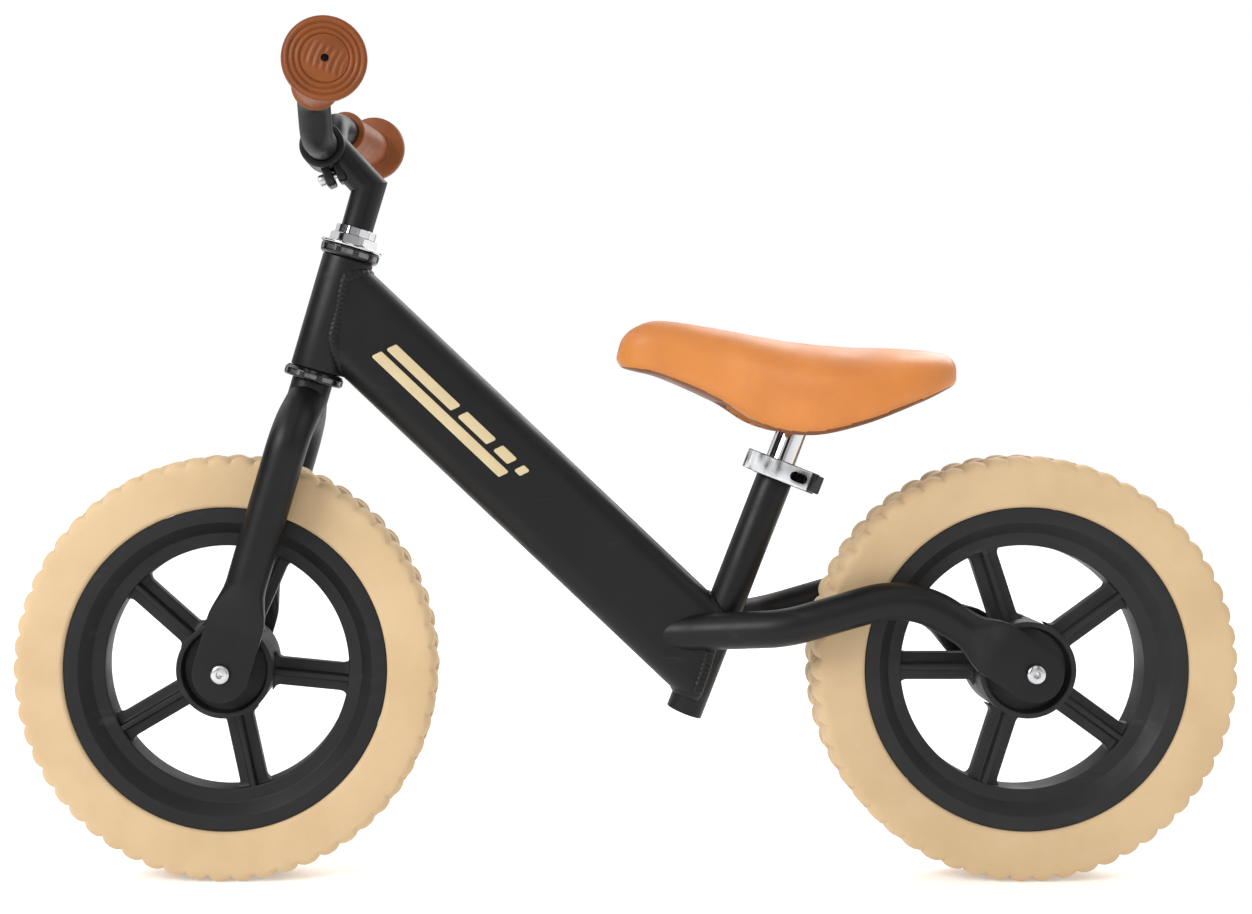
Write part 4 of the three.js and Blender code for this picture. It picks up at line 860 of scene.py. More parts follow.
GRIP_RUBBER = Finish("terracotta_rubber", (0.225, 0.058, 0.008), (0.18, 0.045, 0.006), 0.46, 0.60,
                     specular=0.35, grain=Grain.FINE, grain_size=1700.0, relief_mm=0.03, patches=50.0)
SADDLE_SKIN = Finish("tan_saddle_skin", (0.60, 0.205, 0.034), (0.51, 0.160, 0.024), 0.40, 0.54, sheen=0.08,
                     grain=Grain.PEBBLED, grain_size=950.0, relief_mm=0.07, patches=18.0, scuffs=0.10,
                     scuff_colour=(0.58, 0.17, 0.04))
# Darker tan for the pad's downward faces: a dark hem with painted shade under the pad.
SADDLE_HEM_AND_SHADE = Finish("dark_tan_hem_and_painted_shade", (0.20, 0.065, 0.022), (0.15, 0.05, 0.018), 0.5, 0.65,
                     grain=Grain.PEBBLED, grain_size=1200.0, relief_mm=0.04)
CREAM_INK = Finish("cream_ink", (0.60, 0.49, 0.29), (0.55, 0.44, 0.26), 0.34, 0.48,
                   grain=Grain.FINE, grain_size=2200.0, relief_mm=0.01, scuffs=0.08,
                   scuff_colour=(0.40, 0.33, 0.20))
BARE_STEEL = Finish("bare_steel", (0.45, 0.44, 0.43), (0.34, 0.33, 0.32), 0.26, 0.42, metallic=1.0,
                    grain=Grain.FINE, grain_size=1500.0, relief_mm=0.02, patches=90.0)
FLOOR_PAPER = Finish("pale_floor", (0.90, 0.90, 0.90), (0.885, 0.885, 0.885), 0.7, 0.85,
                     grain=Grain.FINE, grain_size=300.0, relief_mm=0.02, patches=2.0, specular=0.1, glow=0.27)


def place_piece(piece: bpy.types.Object, finish: Finish, body: str, slot: str,
                *nodes: str) -> bpy.types.Object:
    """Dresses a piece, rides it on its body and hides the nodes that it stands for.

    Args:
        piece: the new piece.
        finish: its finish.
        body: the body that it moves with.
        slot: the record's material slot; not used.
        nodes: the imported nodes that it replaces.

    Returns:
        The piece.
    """
    if not piece.data.materials:
        finish.dress(piece)
    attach(piece, body)
    if nodes:
        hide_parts(*nodes)
    LOG.info("%s: %d faces on %s", piece.name, len(piece.data.polygons), body)
    return piece


# ---------------------------------------------------------------- shared hardware

HEX_SIDES = 6


def hexed(radius_below: float) -> Callable[[float, float, float], tuple[float, float]]:
    """Shapes the narrow part of a lathed profile into a hexagon, as in a socket.

    Args:
        radius_below: points nearer to the axis than this follow the hexagon.

    Returns:
        The shaping function for a lathe.
    """
    def shape(angle: float, radius: float, height: float) -> tuple[float, float]:
        """Gives the shaped radius and height."""
        if 0 < radius < radius_below:
            part = (angle + math.pi / HEX_SIDES) % (FULL_TURN / HEX_SIDES) - math.pi / HEX_SIDES
            return radius / math.cos(part), height
        return radius, height
    return shape


def chamfered_nut(shell: Shell, across_flats: float, sides: int, low: float, high: float, bore: float,
                  chamfer: float, place: Matrix = ORIGIN, both: bool = True) -> Shell:
    """Adds a nut with a bore and turned chamfers.

    Args:
        shell: the piece to add it to.
        across_flats: the distance between two flats.
        sides: how many flats the nut has.
        low: the lower face's height.
        high: the upper face's height.
        bore: the bore's radius.
        chamfer: how far the turned chamfer comes in at the corners.
        place: where the nut goes in the piece's local axes.
        both: whether the lower rim is chamfered too.

    Returns:
        The shell.
    """
    apothem = across_flats / 2
    corner = apothem / math.cos(math.pi / sides)
    steps = sides * 12
    sector = FULL_TURN / sides

    def reach_at(angle: float) -> float:
        """Gives the nut's reach at an angle."""
        part = (angle + sector / 2) % sector - sector / 2
        return min(apothem / math.cos(part), corner * 0.992)

    rings = []
    for step in range(steps):
        angle = FULL_TURN * step / steps
        reach = reach_at(angle)
        drop = max(0.0, reach - (corner - chamfer)) * 0.577
        base = drop if both else 0.0
        outline = [(bore, low + 0.4), (bore + 0.4, low), (corner - chamfer, low), (reach, low + base),
                   (reach, high - drop), (corner - chamfer, high), (bore + 0.4, high), (bore, high - 0.4)]
        if reach < corner - chamfer:
            outline[2] = (reach, low)
            outline[5] = (reach, high)
        rings.append([Vector((r * math.cos(angle), r * math.sin(angle), z)) for r, z in outline])
    return shell.rings(rings, loop=True, caps=False, place=place)


def socket_head(shell: Shell, radius: float, height: float, socket: float, depth: float,
                place: Matrix = ORIGIN, dome: float = 1.0) -> Shell:
    """Adds a domed bolt head with a hexagon socket, its seat at height zero.

    Args:
        shell: the piece to add it to.
        radius: the head's radius.
        height: the head's height.
        socket: the distance from the socket's axis to a flat.
        depth: the socket's depth.
        place: where the head goes in the piece's local axes.
        dome: how far the rim lies below the head's top.

    Returns:
        The shell.
    """
    profile = [(0.0, height - depth - 0.5), (socket * 0.9, height - depth), (socket, height - depth + 0.3),
               (socket, height - 0.35), (socket + 0.35, height)]
    for step in range(1, 7):
        angle = math.pi / 2 * step / 6
        profile.append((socket + 0.8 + (radius - socket - 0.8) * math.sin(angle),
                        height - dome + dome * math.cos(angle)))
    profile += [(radius, 0.3), (radius - 0.3, 0.0), (0.0, 0.0)]
    return shell.lathe(profile, steps=48, closed=False, place=place, shape=hexed(socket + 0.01))


# ---------------------------------------------------------------- frame

@dataclass
class SteelFrame:
    """The welded frame: head tube, down tube, seat tube and two stays that end in pressed plates."""

    head_radius: float = 18.0
    head_bottom: float = 216.3
    head_top: float = 297.3
    head_bore: float = 15.0
    down_depth: float = 67.0
    down_width: float = 34.0
    down_corner: float = 14.0
    down_start: tuple[float, float, float] = (0.0, -203.1, 401.9)
    down_end: tuple[float, float, float] = (0.0, 57.9, 155.0)
    seat_radius: float = 12.7
    seat_bore: float = 11.3
    seat_top: float = 188.5
    stay_radius: float = 12.7
    plate_half: float = 2.5
    plate_middle: float = 36.0
    plate_radius: float = 19.8
    end_steps: tuple[float, ...] = (0.02, 0.2, 0.4, 0.6, 0.8, 1.0)
    middle_steps: tuple[float, ...] = (0.02, 0.08, 0.3, 0.5, 0.7, 0.92, 0.98)
    head_overlap: float = 0.4
    seat_overlap: float = 0.3
    weld_radius: float = 4.6
    weld_sunk: float = 3.6
    weld_offset: float = 0.6
    weld_pitch: float = 1.1
    ripple_pitch: float = 3.4
    ripple_share: float = 0.05
    head_wall_left: float = 1.5
    seat_wall_left: float = 0.6
    stay_root: tuple[float, float, float] = (2.0, 23.6, 169.8)
    stay_knee: tuple[float, float, float] = (40.0, 107.6, 178.8)
    stay_elbow: tuple[float, float, float] = (40.0, 191.9, 203.3)
    stay_bends: tuple[float, float] = (60.0, 66.0)
    axle: tuple[float, float] = (277.5, 147.5)
    pressed_from: float = 58.0
    pressed_to: float = 30.0

    def __post_init__(self) -> None:
        """Reads the two sets of axes that the tubes follow."""
        self.steering = joint_axes("steering")
        self.seating = seating_axes()

    def build(self) -> None:
        """Builds and places every piece of the frame."""
        self._head_tube()
        self._down_tube()
        self._seat_tube()
        for side, name in ((1, "left"), (-1, "right")):
            self._stay(side, name)

    def _head_tube(self) -> None:
        """Builds the head tube with softly broken ends."""
        outer = self.head_radius
        profile = rounded([(self.head_bore, self.head_bottom, 0.4), (outer, self.head_bottom, 0.9),
                           (outer, self.head_top, 0.9), (self.head_bore, self.head_top, 0.4)], 4)
        shell = Shell("head_tube_shell", self.steering).lathe(profile, 96)
        place_piece(shell.make(), SATIN_PAINT, "frame", "frame_paint", "head_tube")

    def _meet(self, axes: Matrix, radius: float, point: Vector, direction: Vector, beyond: bool) -> Vector:
        """Runs a point along a direction until it meets a tube's surface.

        Args:
            axes: the tube's local axes.
            radius: the tube's radius.
            point: the starting point, in the bike's millimetres.
            direction: the direction to run in.
            beyond: whether the nearer or the farther meeting counts.

        Returns:
            The meeting point, or the point level with the tube's axis where it passes beside the tube.
        """
        to_local = axes.inverted() @ Matrix.Scale(MM, 4)
        start = to_local @ point
        run = to_local.to_3x3() @ direction
        square = run.x ** 2 + run.y ** 2
        half = start.x * run.x + start.y * run.y
        rest = start.x ** 2 + start.y ** 2 - radius ** 2
        root = half * half - square * rest
        distance = (-half + (1 if beyond else -1) * math.sqrt(max(root, 0.0))) / square
        return point + direction * distance

    def _down_tube(self) -> None:
        """Builds the down tube, its ends following the head and seat tubes, with a weld bead at each end."""
        start = Vector(self.down_start)
        end = Vector(self.down_end)
        along = (end - start).normalized()
        up = Vector((1, 0, 0)).cross(along).normalized()
        up = up if up.z > 0 else -up
        across = Vector((1, 0, 0))
        outline = rectangle(self.down_width, self.down_depth, self.down_corner, 9)
        outline = self._fine_outline(outline)
        head_rings = []
        seat_rings = []
        head_reach = self.head_radius - self.head_overlap
        seat_reach = self.seat_radius - self.seat_overlap
        for scale in self.end_steps:
            points = [start + (across * first + up * second) * scale for first, second in outline]
            head_rings.append([self._meet(self.steering, head_reach, point, along, True) for point in points])
            seat_rings.append([self._meet(self.seating, seat_reach, point, along, False) for point in points])
        head_ring = head_rings[-1]
        seat_ring = seat_rings[-1]
        rings = list(head_rings)
        rings += [[a.lerp(b, part) for a, b in zip(head_ring, seat_ring)] for part in self.middle_steps]
        rings += reversed(seat_rings)
        world = Matrix.Scale(MM, 4)
        shell = Shell("down_tube_shell", world).rings(rings)
        place_piece(shell.make(), SATIN_PAINT, "frame", "frame_paint", "down_tube")
        ends = (("head_weld", head_ring, along, self.steering, self.head_radius - self.head_wall_left),
                ("seat_weld", seat_ring, -along, self.seating, self.seat_radius - self.seat_wall_left))
        for name, ring, step, axes, kept_clear in ends:
            middle = sum(ring, Vector()) / len(ring)
            line = []
            for point in ring:
                outwards = point - middle
                outwards -= along * outwards.dot(along)
                line.append(point - outwards.normalized() * self.weld_sunk + step * self.weld_offset)
            weld = self._bead(name, line)
            self._press_outwards(weld, axes, kept_clear)
            place_piece(weld, SATIN_PAINT, "frame", "frame_paint")

    @staticmethod
    def _press_outwards(weld: bpy.types.Object, axes: Matrix, kept_clear: float) -> None:
        """Moves the hidden side of a weld out of the bore that it runs round.

        Args:
            weld: the weld's bead.
            axes: the tube's local axes.
            kept_clear: the radius about the tube's axis that the bead stays outside.
        """
        to_local = axes.inverted()
        for vertex in weld.data.vertices:
            local = to_local @ vertex.co
            radius = math.hypot(local.x, local.y)
            if radius < kept_clear:
                stretch = kept_clear / radius
                vertex.co = axes @ Vector((local.x * stretch, local.y * stretch, local.z))

    @staticmethod
    def _fine_outline(outline: Outline) -> Outline:
        """Adds points along an outline's straight sides.

        Args:
            outline: the outline.

        Returns:
            The outline with its added points.
        """
        closed = [Vector((*point, 0)) for point in outline]
        closed.append(closed[0])
        return [(point.x, point.y) for point in spread_along(closed, 2.5)[:-1]]

    def _bead(self, name: str, line: Sequence[Vector]) -> bpy.types.Object:
        """Lays a weld bead along a closed line, with faint ripples.

        Args:
            name: the bead's name.
            line: the line, without its first point again at the end.

        Returns:
            The new piece.
        """
        closed = spread_along([*line, line[0]], self.weld_pitch)[:-1]

        def section(distance: float, length: float) -> Outline:
            """Gives the outline at a distance along the line."""
            ripple = 1 + self.ripple_share * math.sin(distance * FULL_TURN / self.ripple_pitch)
            return circle(self.weld_radius * ripple, 12)

        shell = Shell(name, Matrix.Scale(MM, 4))
        return shell.sweep(closed, section, Vector((0.3, 0.2, 0.9)), loop=True).make(60)

    def _seat_tube(self) -> None:
        """Builds the seat tube, open at its top."""
        radius = self.seat_radius
        profile = rounded([(self.seat_bore, 0.0, 0.2), (radius, 0.0, 0.6), (radius, self.seat_top, 0.4),
                           (self.seat_bore, self.seat_top, 0.2)], 3)
        shell = Shell("seat_tube_shell", self.seating).lathe(profile, 72)
        place_piece(shell.make(), SATIN_PAINT, "frame", "frame_paint", "seat_tube")

    def _stay(self, side: int, name: str) -> None:
        """Builds one stay: a bent tube whose end is pressed into a flat plate with a round end.

        Args:
            side: 1 for the rider's left and -1 for the right.
            name: the side's name.
        """
        axle_y, axle_z = self.axle
        knee_bend, elbow_bend = self.stay_bends
        corners = [(self.stay_root, 0), (self.stay_knee, knee_bend), (self.stay_elbow, elbow_bend),
                   ((self.stay_elbow[0], axle_y, axle_z), 0)]
        line = bent_line(corners, 14)
        plate_way = (Vector(corners[-1][0]) - Vector(corners[-2][0])).normalized()
        stay = pressed_tube(f"rear_stay_{name}_shell", line, plate_way, self.stay_radius, self.plate_middle,
                            self.plate_radius, self.plate_half, self.pressed_from, self.pressed_to,
                            Matrix.Scale(MM, 4) @ (ORIGIN if side > 0 else MIRROR))
        place_piece(stay, SATIN_PAINT, "frame", "frame_paint", f"rear_stay_{name}")


def pressed_tube(name: str, line: list[Vector], plate_way: Vector, radius: float, plate_middle: float,
                 plate_radius: float, plate_half: float, pressed_from: float, pressed_to: float,
                 place: Matrix) -> bpy.types.Object:
    """Builds a bent tube that is pressed flat towards its end, with a round plate about the axle.

    Args:
        name: the piece's name.
        line: the tube's centre line, ending at the axle.
        plate_way: the direction of the plate, towards the axle.
        radius: the tube's radius.
        plate_middle: how far the plate's middle lies from the middle plane.
        plate_radius: the radius of the plate's round end.
        plate_half: half of the plate's thickness.
        pressed_from: the distance from the axle where the pressing starts.
        pressed_to: the distance from the axle where the plate is flat.
        place: the piece's local axes.

    Returns:
        The new piece.
    """
    fine = spread_along(line, 5.0)
    axle = fine[-1]
    wide = Vector((1, 0, 0)).cross(plate_way).normalized()
    rings = []
    sides = 48
    for index, here in enumerate(fine):
        ahead = (fine[min(index + 1, len(fine) - 1)] - fine[max(index - 1, 0)]).normalized()
        from_axle = (axle - here).length
        flat = 1 - share(from_axle, pressed_to, pressed_from)
        side = (Vector((1, 0, 0)) - ahead * ahead.x).normalized()
        tall = side.cross(ahead).normalized()
        side = side.lerp(Vector((1, 0, 0)), flat).normalized()
        if tall.dot(wide) < 0:
            tall = -tall
        centre = here.copy()
        centre.x += (plate_middle - here.x) * flat
        half_wide = radius + (plate_radius - radius) * flat
        half_thick = radius + (plate_half - radius) * flat
        power = 1 - 0.86 * flat
        ring = []
        for step in range(sides):
            angle = FULL_TURN * step / sides
            c, s = math.cos(angle), math.sin(angle)
            ring.append(centre + side * half_thick * math.copysign(abs(c) ** power, c)
                        + tall * half_wide * math.copysign(abs(s) ** (1 - 0.45 * flat), s))
        rings.append(ring)
    rings = [ring for ring, here in zip(rings, fine) if (axle - here).length > 1.0]
    last = fine[-1].copy()
    last.x = plate_middle
    for step in range(13):
        angle = math.pi / 2 * step / 12.3
        reach = plate_radius * math.sin(angle)
        half = plate_radius * math.cos(angle)
        ring = []
        for count in range(sides):
            turned = FULL_TURN * count / sides
            c, s = math.cos(turned), math.sin(turned)
            ring.append(last + plate_way * reach + Vector((1, 0, 0)) * plate_half
                        * math.copysign(abs(c) ** 0.14, c)
                        + wide * half * math.copysign(abs(s) ** 0.55, s))
        rings.append(ring)
    return Shell(name, place).rings(rings).make(50)


# ---------------------------------------------------------------- headset and fork

@dataclass
class Headset:
    """The bearing cups, washer and nuts on the steering axis; heights are along that axis."""

    cup_radius: float = 21.0
    cup_bore: float = 13.6
    upper_low: float = 297.6
    upper_high: float = 305.2
    skirt_low: float = 289.3
    lower_low: float = 208.4
    lower_high: float = 216.0
    window_count: int = 10
    window_depth: float = 0.7
    washer_radius: float = 21.8
    washer_low: float = 305.5
    washer_high: float = 307.5
    nut_low: float = 307.8
    nut_high: float = 313.8
    nut_flats: float = 29.8
    lock_low: float = 314.1
    lock_high: float = 319.5
    lock_flats: float = 28.4
    bore: float = 13.0

    def __post_init__(self) -> None:
        """Reads the steering axes."""
        self.place = joint_axes("steering")

    def build(self) -> None:
        """Builds and places the headset's visible pieces."""
        self._upper_cup()
        self._lower_cup()
        washer = rounded([(self.bore, self.washer_low, 0.3), (self.washer_radius, self.washer_low, 0.9),
                          (self.washer_radius, self.washer_high, 0.9), (self.bore, self.washer_high, 0.3)], 5)
        piece = Shell("headset_washer_ring", self.place).lathe(washer, 96).make()
        place_piece(piece, CHROME, "fork", "chrome", "headset_washer")
        nut = chamfered_nut(Shell("headset_nut_hex", self.place), self.nut_flats, 6, self.nut_low,
                            self.nut_high, self.bore, 1.6).make(25)
        place_piece(nut, CHROME, "fork", "chrome", "headset_nut")
        lock = chamfered_nut(Shell("lock_nut_ring", self.place), self.lock_flats, 12, self.lock_low,
                             self.lock_high, self.bore, 0.5).make(18)
        place_piece(lock, CHROME, "fork", "chrome", "lock_nut")

    def _windowed(self, low: float, high: float) -> Callable[[float, float, float], tuple[float, float]]:
        """Sinks a row of small windows into a cup's wall between two heights.

        Args:
            low: the windows' lower edge.
            high: the windows' upper edge.

        Returns:
            The shaping function for a lathe.
        """
        sector = FULL_TURN / self.window_count
        half = 0.34 * sector

        def shape(angle: float, radius: float, height: float) -> tuple[float, float]:
            """Gives the shaped radius and height."""
            part = abs((angle + sector / 2) % sector - sector / 2)
            inside = part < half and low < height < high and radius > self.cup_radius - 2
            return (radius - self.window_depth if inside else radius), height
        return shape

    def _upper_cup(self) -> None:
        """Builds the upper cup: a flanged bowl with a row of windows under its rim."""
        low, high, radius = self.upper_low, self.upper_high, self.cup_radius
        corners = [(self.cup_bore, self.skirt_low + 8.4, 0.2), (18.6, low, 1.4),
                   (radius - 0.4, low + 1.6, 2.4), (radius, high - 1.0, 0.9), (radius - 0.9, high, 0.5),
                   (self.cup_bore, high, 0.3)]
        profile = rounded(corners, 5)
        profile = self._fine_band(profile, low + 2.6, high - 1.6)
        shell = Shell("upper_cup_shell", self.place)
        shell.lathe(profile, 240, shape=self._windowed(low + 2.7, high - 1.7))
        cup = shell.make(30)
        self._mark_windows(cup, low + 2.6, high - 1.6)
        place_piece(cup, GLOSS_BLACK, "frame", "black_steel", "upper_cup")

    def _fine_band(self, profile: Outline, low: float, high: float) -> Outline:
        """Adds two close pairs of points to a profile's outer wall, for the windows' edges.

        Args:
            profile: the cup's profile.
            low: the windows' lower edge.
            high: the windows' upper edge.

        Returns:
            The profile with its added points.
        """
        result: Outline = []
        for index, here in enumerate(profile):
            there = profile[(index + 1) % len(profile)]
            result.append(here)
            if here[0] > self.cup_radius - 2.0 and there[0] > self.cup_radius - 2.0 and there[1] > here[1]:
                for height in (low, low + 0.15, high - 0.15, high):
                    if here[1] < height < there[1]:
                        part = (height - here[1]) / (there[1] - here[1])
                        result.append((here[0] + (there[0] - here[0]) * part, height))
        return result

    def _mark_windows(self, cup: bpy.types.Object, low: float, high: float) -> None:
        """Gives the floors of a cup's windows their own greyer finish.

        Args:
            cup: the cup.
            low: the windows' lower edge.
            high: the windows' upper edge.
        """
        GLOSS_BLACK.dress(cup)
        cup.data.materials.append(WINDOW_GREY.material())
        to_local = self.place.inverted()
        inside = self._windowed(low, high)
        for face in cup.data.polygons:
            middle = to_local @ face.center
            radius = math.hypot(middle.x, middle.y)
            wall = self.cup_radius - self.window_depth
            angle = math.atan2(middle.y, middle.x)
            sunk = inside(angle, self.cup_radius, middle.z)[0] < self.cup_radius
            face.material_index = int(sunk and abs(radius - wall) < 0.35)

    def _lower_cup(self) -> None:
        """Builds the lower cup with its notched rim."""
        low, high, radius = self.lower_low, self.lower_high, self.cup_radius
        corners = [(self.cup_bore, low, 0.3), (radius - 0.8, low, 0.6), (radius, low + 1.2, 0.8),
                   (radius, high - 2.4, 1.0), (19.0, high, 1.2), (self.cup_bore, high, 0.3)]
        profile = self._fine_band(rounded(corners, 4), low + 1.6, high - 3.0)
        shell = Shell("lower_cup_shell", self.place)
        shell.lathe(profile, 240, shape=self._windowed(low + 1.7, high - 3.1))
        cup = shell.make(30)
        self._mark_windows(cup, low + 1.6, high - 3.0)
        place_piece(cup, GLOSS_BLACK, "frame", "black_steel", "lower_cup")


@dataclass
class Fork:
    """The steel fork: a crown and two bent legs that end in pressed plates."""

    crown_radius: float = 14.3
    crown_low: float = 184.1
    crown_high: float = 208.1
    leg_radius: float = 14.0
    leg_offset: float = 40.0
    leg_start: float = 193.1
    leg_shoulder: float = 175.1
    leg_bend: float = 34.0
    plate_middle: float = 36.0
    plate_radius: float = 19.8
    plate_half: float = 2.5
    pressed_from: float = 64.0
    pressed_to: float = 34.0

    def build(self) -> None:
        """Builds and places the crown and both legs."""
        place = joint_axes("steering")
        crown = rounded([(0.0, self.crown_low, 0.0), (self.crown_radius, self.crown_low, 2.0),
                         (self.crown_radius, self.crown_high, 0.8), (0.0, self.crown_high, 0.0)],
                        5, closed=False)
        piece = Shell("fork_crown_shell", place).lathe(crown, 72, closed=False).make()
        place_piece(piece, SATIN_PAINT, "fork", "frame_paint", "fork_crown")
        for side, name in ((1, "left"), (-1, "right")):
            line = bent_line([((4, 0, self.leg_start), 0), ((self.leg_offset, 0, self.leg_shoulder),
                                                          self.leg_bend), ((self.leg_offset, 0, 0), 0)], 16)
            flip = ORIGIN if side > 0 else MIRROR
            leg = pressed_tube(f"fork_leg_{name}_shell", line, Vector((0, 0, -1)), self.leg_radius,
                               self.plate_middle, self.plate_radius, self.plate_half, self.pressed_from,
                               self.pressed_to, place @ flip)
            place_piece(leg, SATIN_PAINT, "fork", "frame_paint", f"fork_leg_{name}")


# ---------------------------------------------------------------- stem and handlebar

@dataclass
class Stem:
    """The quill stem: a mitred quill and arm, a split clamp with two ears, and its bolt and nut."""

    quill_radius: float = 11.1
    quill_low: float = 257.5
    arm_radius: float = 11.5
    corner: tuple[float, float, float] = (0.0, 0.0, 350.3)
    arm_end: tuple[float, float, float] = (0.0, -36.0, 371.6)
    clamp: tuple[float, float, float] = (0.0, -38.0, 367.8)
    clamp_radius: float = 15.8
    clamp_bore: float = 11.35
    clamp_width: float = 36.0
    ear_width: float = 22.0
    ear_from: float = 11.0
    ear_to: float = 28.0
    ear_thickness: float = 6.0
    slot: float = 2.6
    ear_turn: float = -52.0
    bolt_at: float = 21.0
    bolt_radius: float = 2.5
    bolt_high: float = 12.0
    head_radius: float = 4.4
    nut_radius: float = 4.6

    def build(self) -> None:
        """Builds and places the stem, its pinch bolt and the nut."""
        place = joint_axes("steering")
        clamp = Vector(self.clamp)
        across = Matrix.Translation(clamp) @ turn(90, "Y")
        place_piece(self._body(place, across), BAR_BLACK, "stem", "black_steel", "stem")
        half = self.clamp_width / 2
        profile = rounded([(self.clamp_bore, -half, 0.4), (self.clamp_radius, -half, 1.6),
                           (self.clamp_radius, half, 1.6), (self.clamp_bore, half, 0.4)], 5)
        shell = Shell("stem_clamp_ring", place).lathe(profile, 96, place=across)
        clamp_axes = Matrix.Translation(clamp) @ turn(self.ear_turn, "X")
        middle = (self.ear_from + self.ear_to) / 2
        outline = rectangle(self.ear_width, self.ear_to - self.ear_from, 4.5)
        for side in (1, -1):
            low = side * self.slot / 2
            high = side * (self.slot / 2 + self.ear_thickness)
            shell.prism(outline, min(low, high), max(low, high), 1.4, clamp_axes @ move(0, middle, 0))
        place_piece(shell.make(32), BAR_BLACK, "stem", "black_steel")
        bolt_axes = clamp_axes @ move(0, self.bolt_at, 0)
        seat = self.slot / 2 + self.ear_thickness
        bolt = Shell("pinch_bolt_turned", place)
        head_axes = bolt_axes @ turn(180, "X") @ move(0, 0, seat + 0.3)
        socket_head(bolt, self.head_radius, 4.6, 1.9, 2.6, head_axes)
        shank = self.bolt_radius - 0.1
        bolt.lathe([(0, -seat), (shank, -seat), (shank, self.bolt_high - 0.6),
                    (self.bolt_radius - 0.7, self.bolt_high), (0, self.bolt_high)], 32, closed=False,
                   place=bolt_axes)
        place_piece(bolt.make(), ZINC, "stem", "zinc", "pinch_bolt")
        nut = chamfered_nut(Shell("pinch_nut_hex", place), self.nut_radius * 1.74, 6, seat + 0.3, seat + 4.3,
                            self.bolt_radius + 0.1, 0.5, bolt_axes).make(25)
        place_piece(nut, ZINC, "stem", "zinc", "pinch_nut")

    def _body(self, place: Matrix, across: Matrix) -> bpy.types.Object:
        """Builds the mitred quill and arm, hollowed where the clamp's ring goes through.

        Args:
            place: the steering axes.
            across: the clamp's own axes, with z along the bar.

        Returns:
            The new piece.
        """
        corner = Vector(self.corner)
        line = [Vector((0, 0, self.quill_low)), Vector((0, 0, 300)), corner, Vector(self.arm_end)]
        body = Shell("stem_body", place).sweep(line, self._radius_at(line), Vector((0, -1, 0))).make(50)
        cutter = Shell("stem_cutter", place @ across)
        cutter.prism(circle(self.clamp_radius - 0.8, 64), -self.clamp_width, self.clamp_width)
        cut(body, cutter.make())
        return body

    def _radius_at(self, line: Sequence[Vector]) -> SectionAt:
        """Gives the quill's radius below the corner and the arm's beyond it.

        Args:
            line: the stem's centre line.

        Returns:
            The section for a sweep.
        """
        corner_at = (line[2] - line[0]).length

        def section(distance: float, length: float) -> Outline:
            """Gives the outline at a distance along the line."""
            return circle(self.quill_radius if distance < corner_at - 1 else self.arm_radius, 48)
        return section


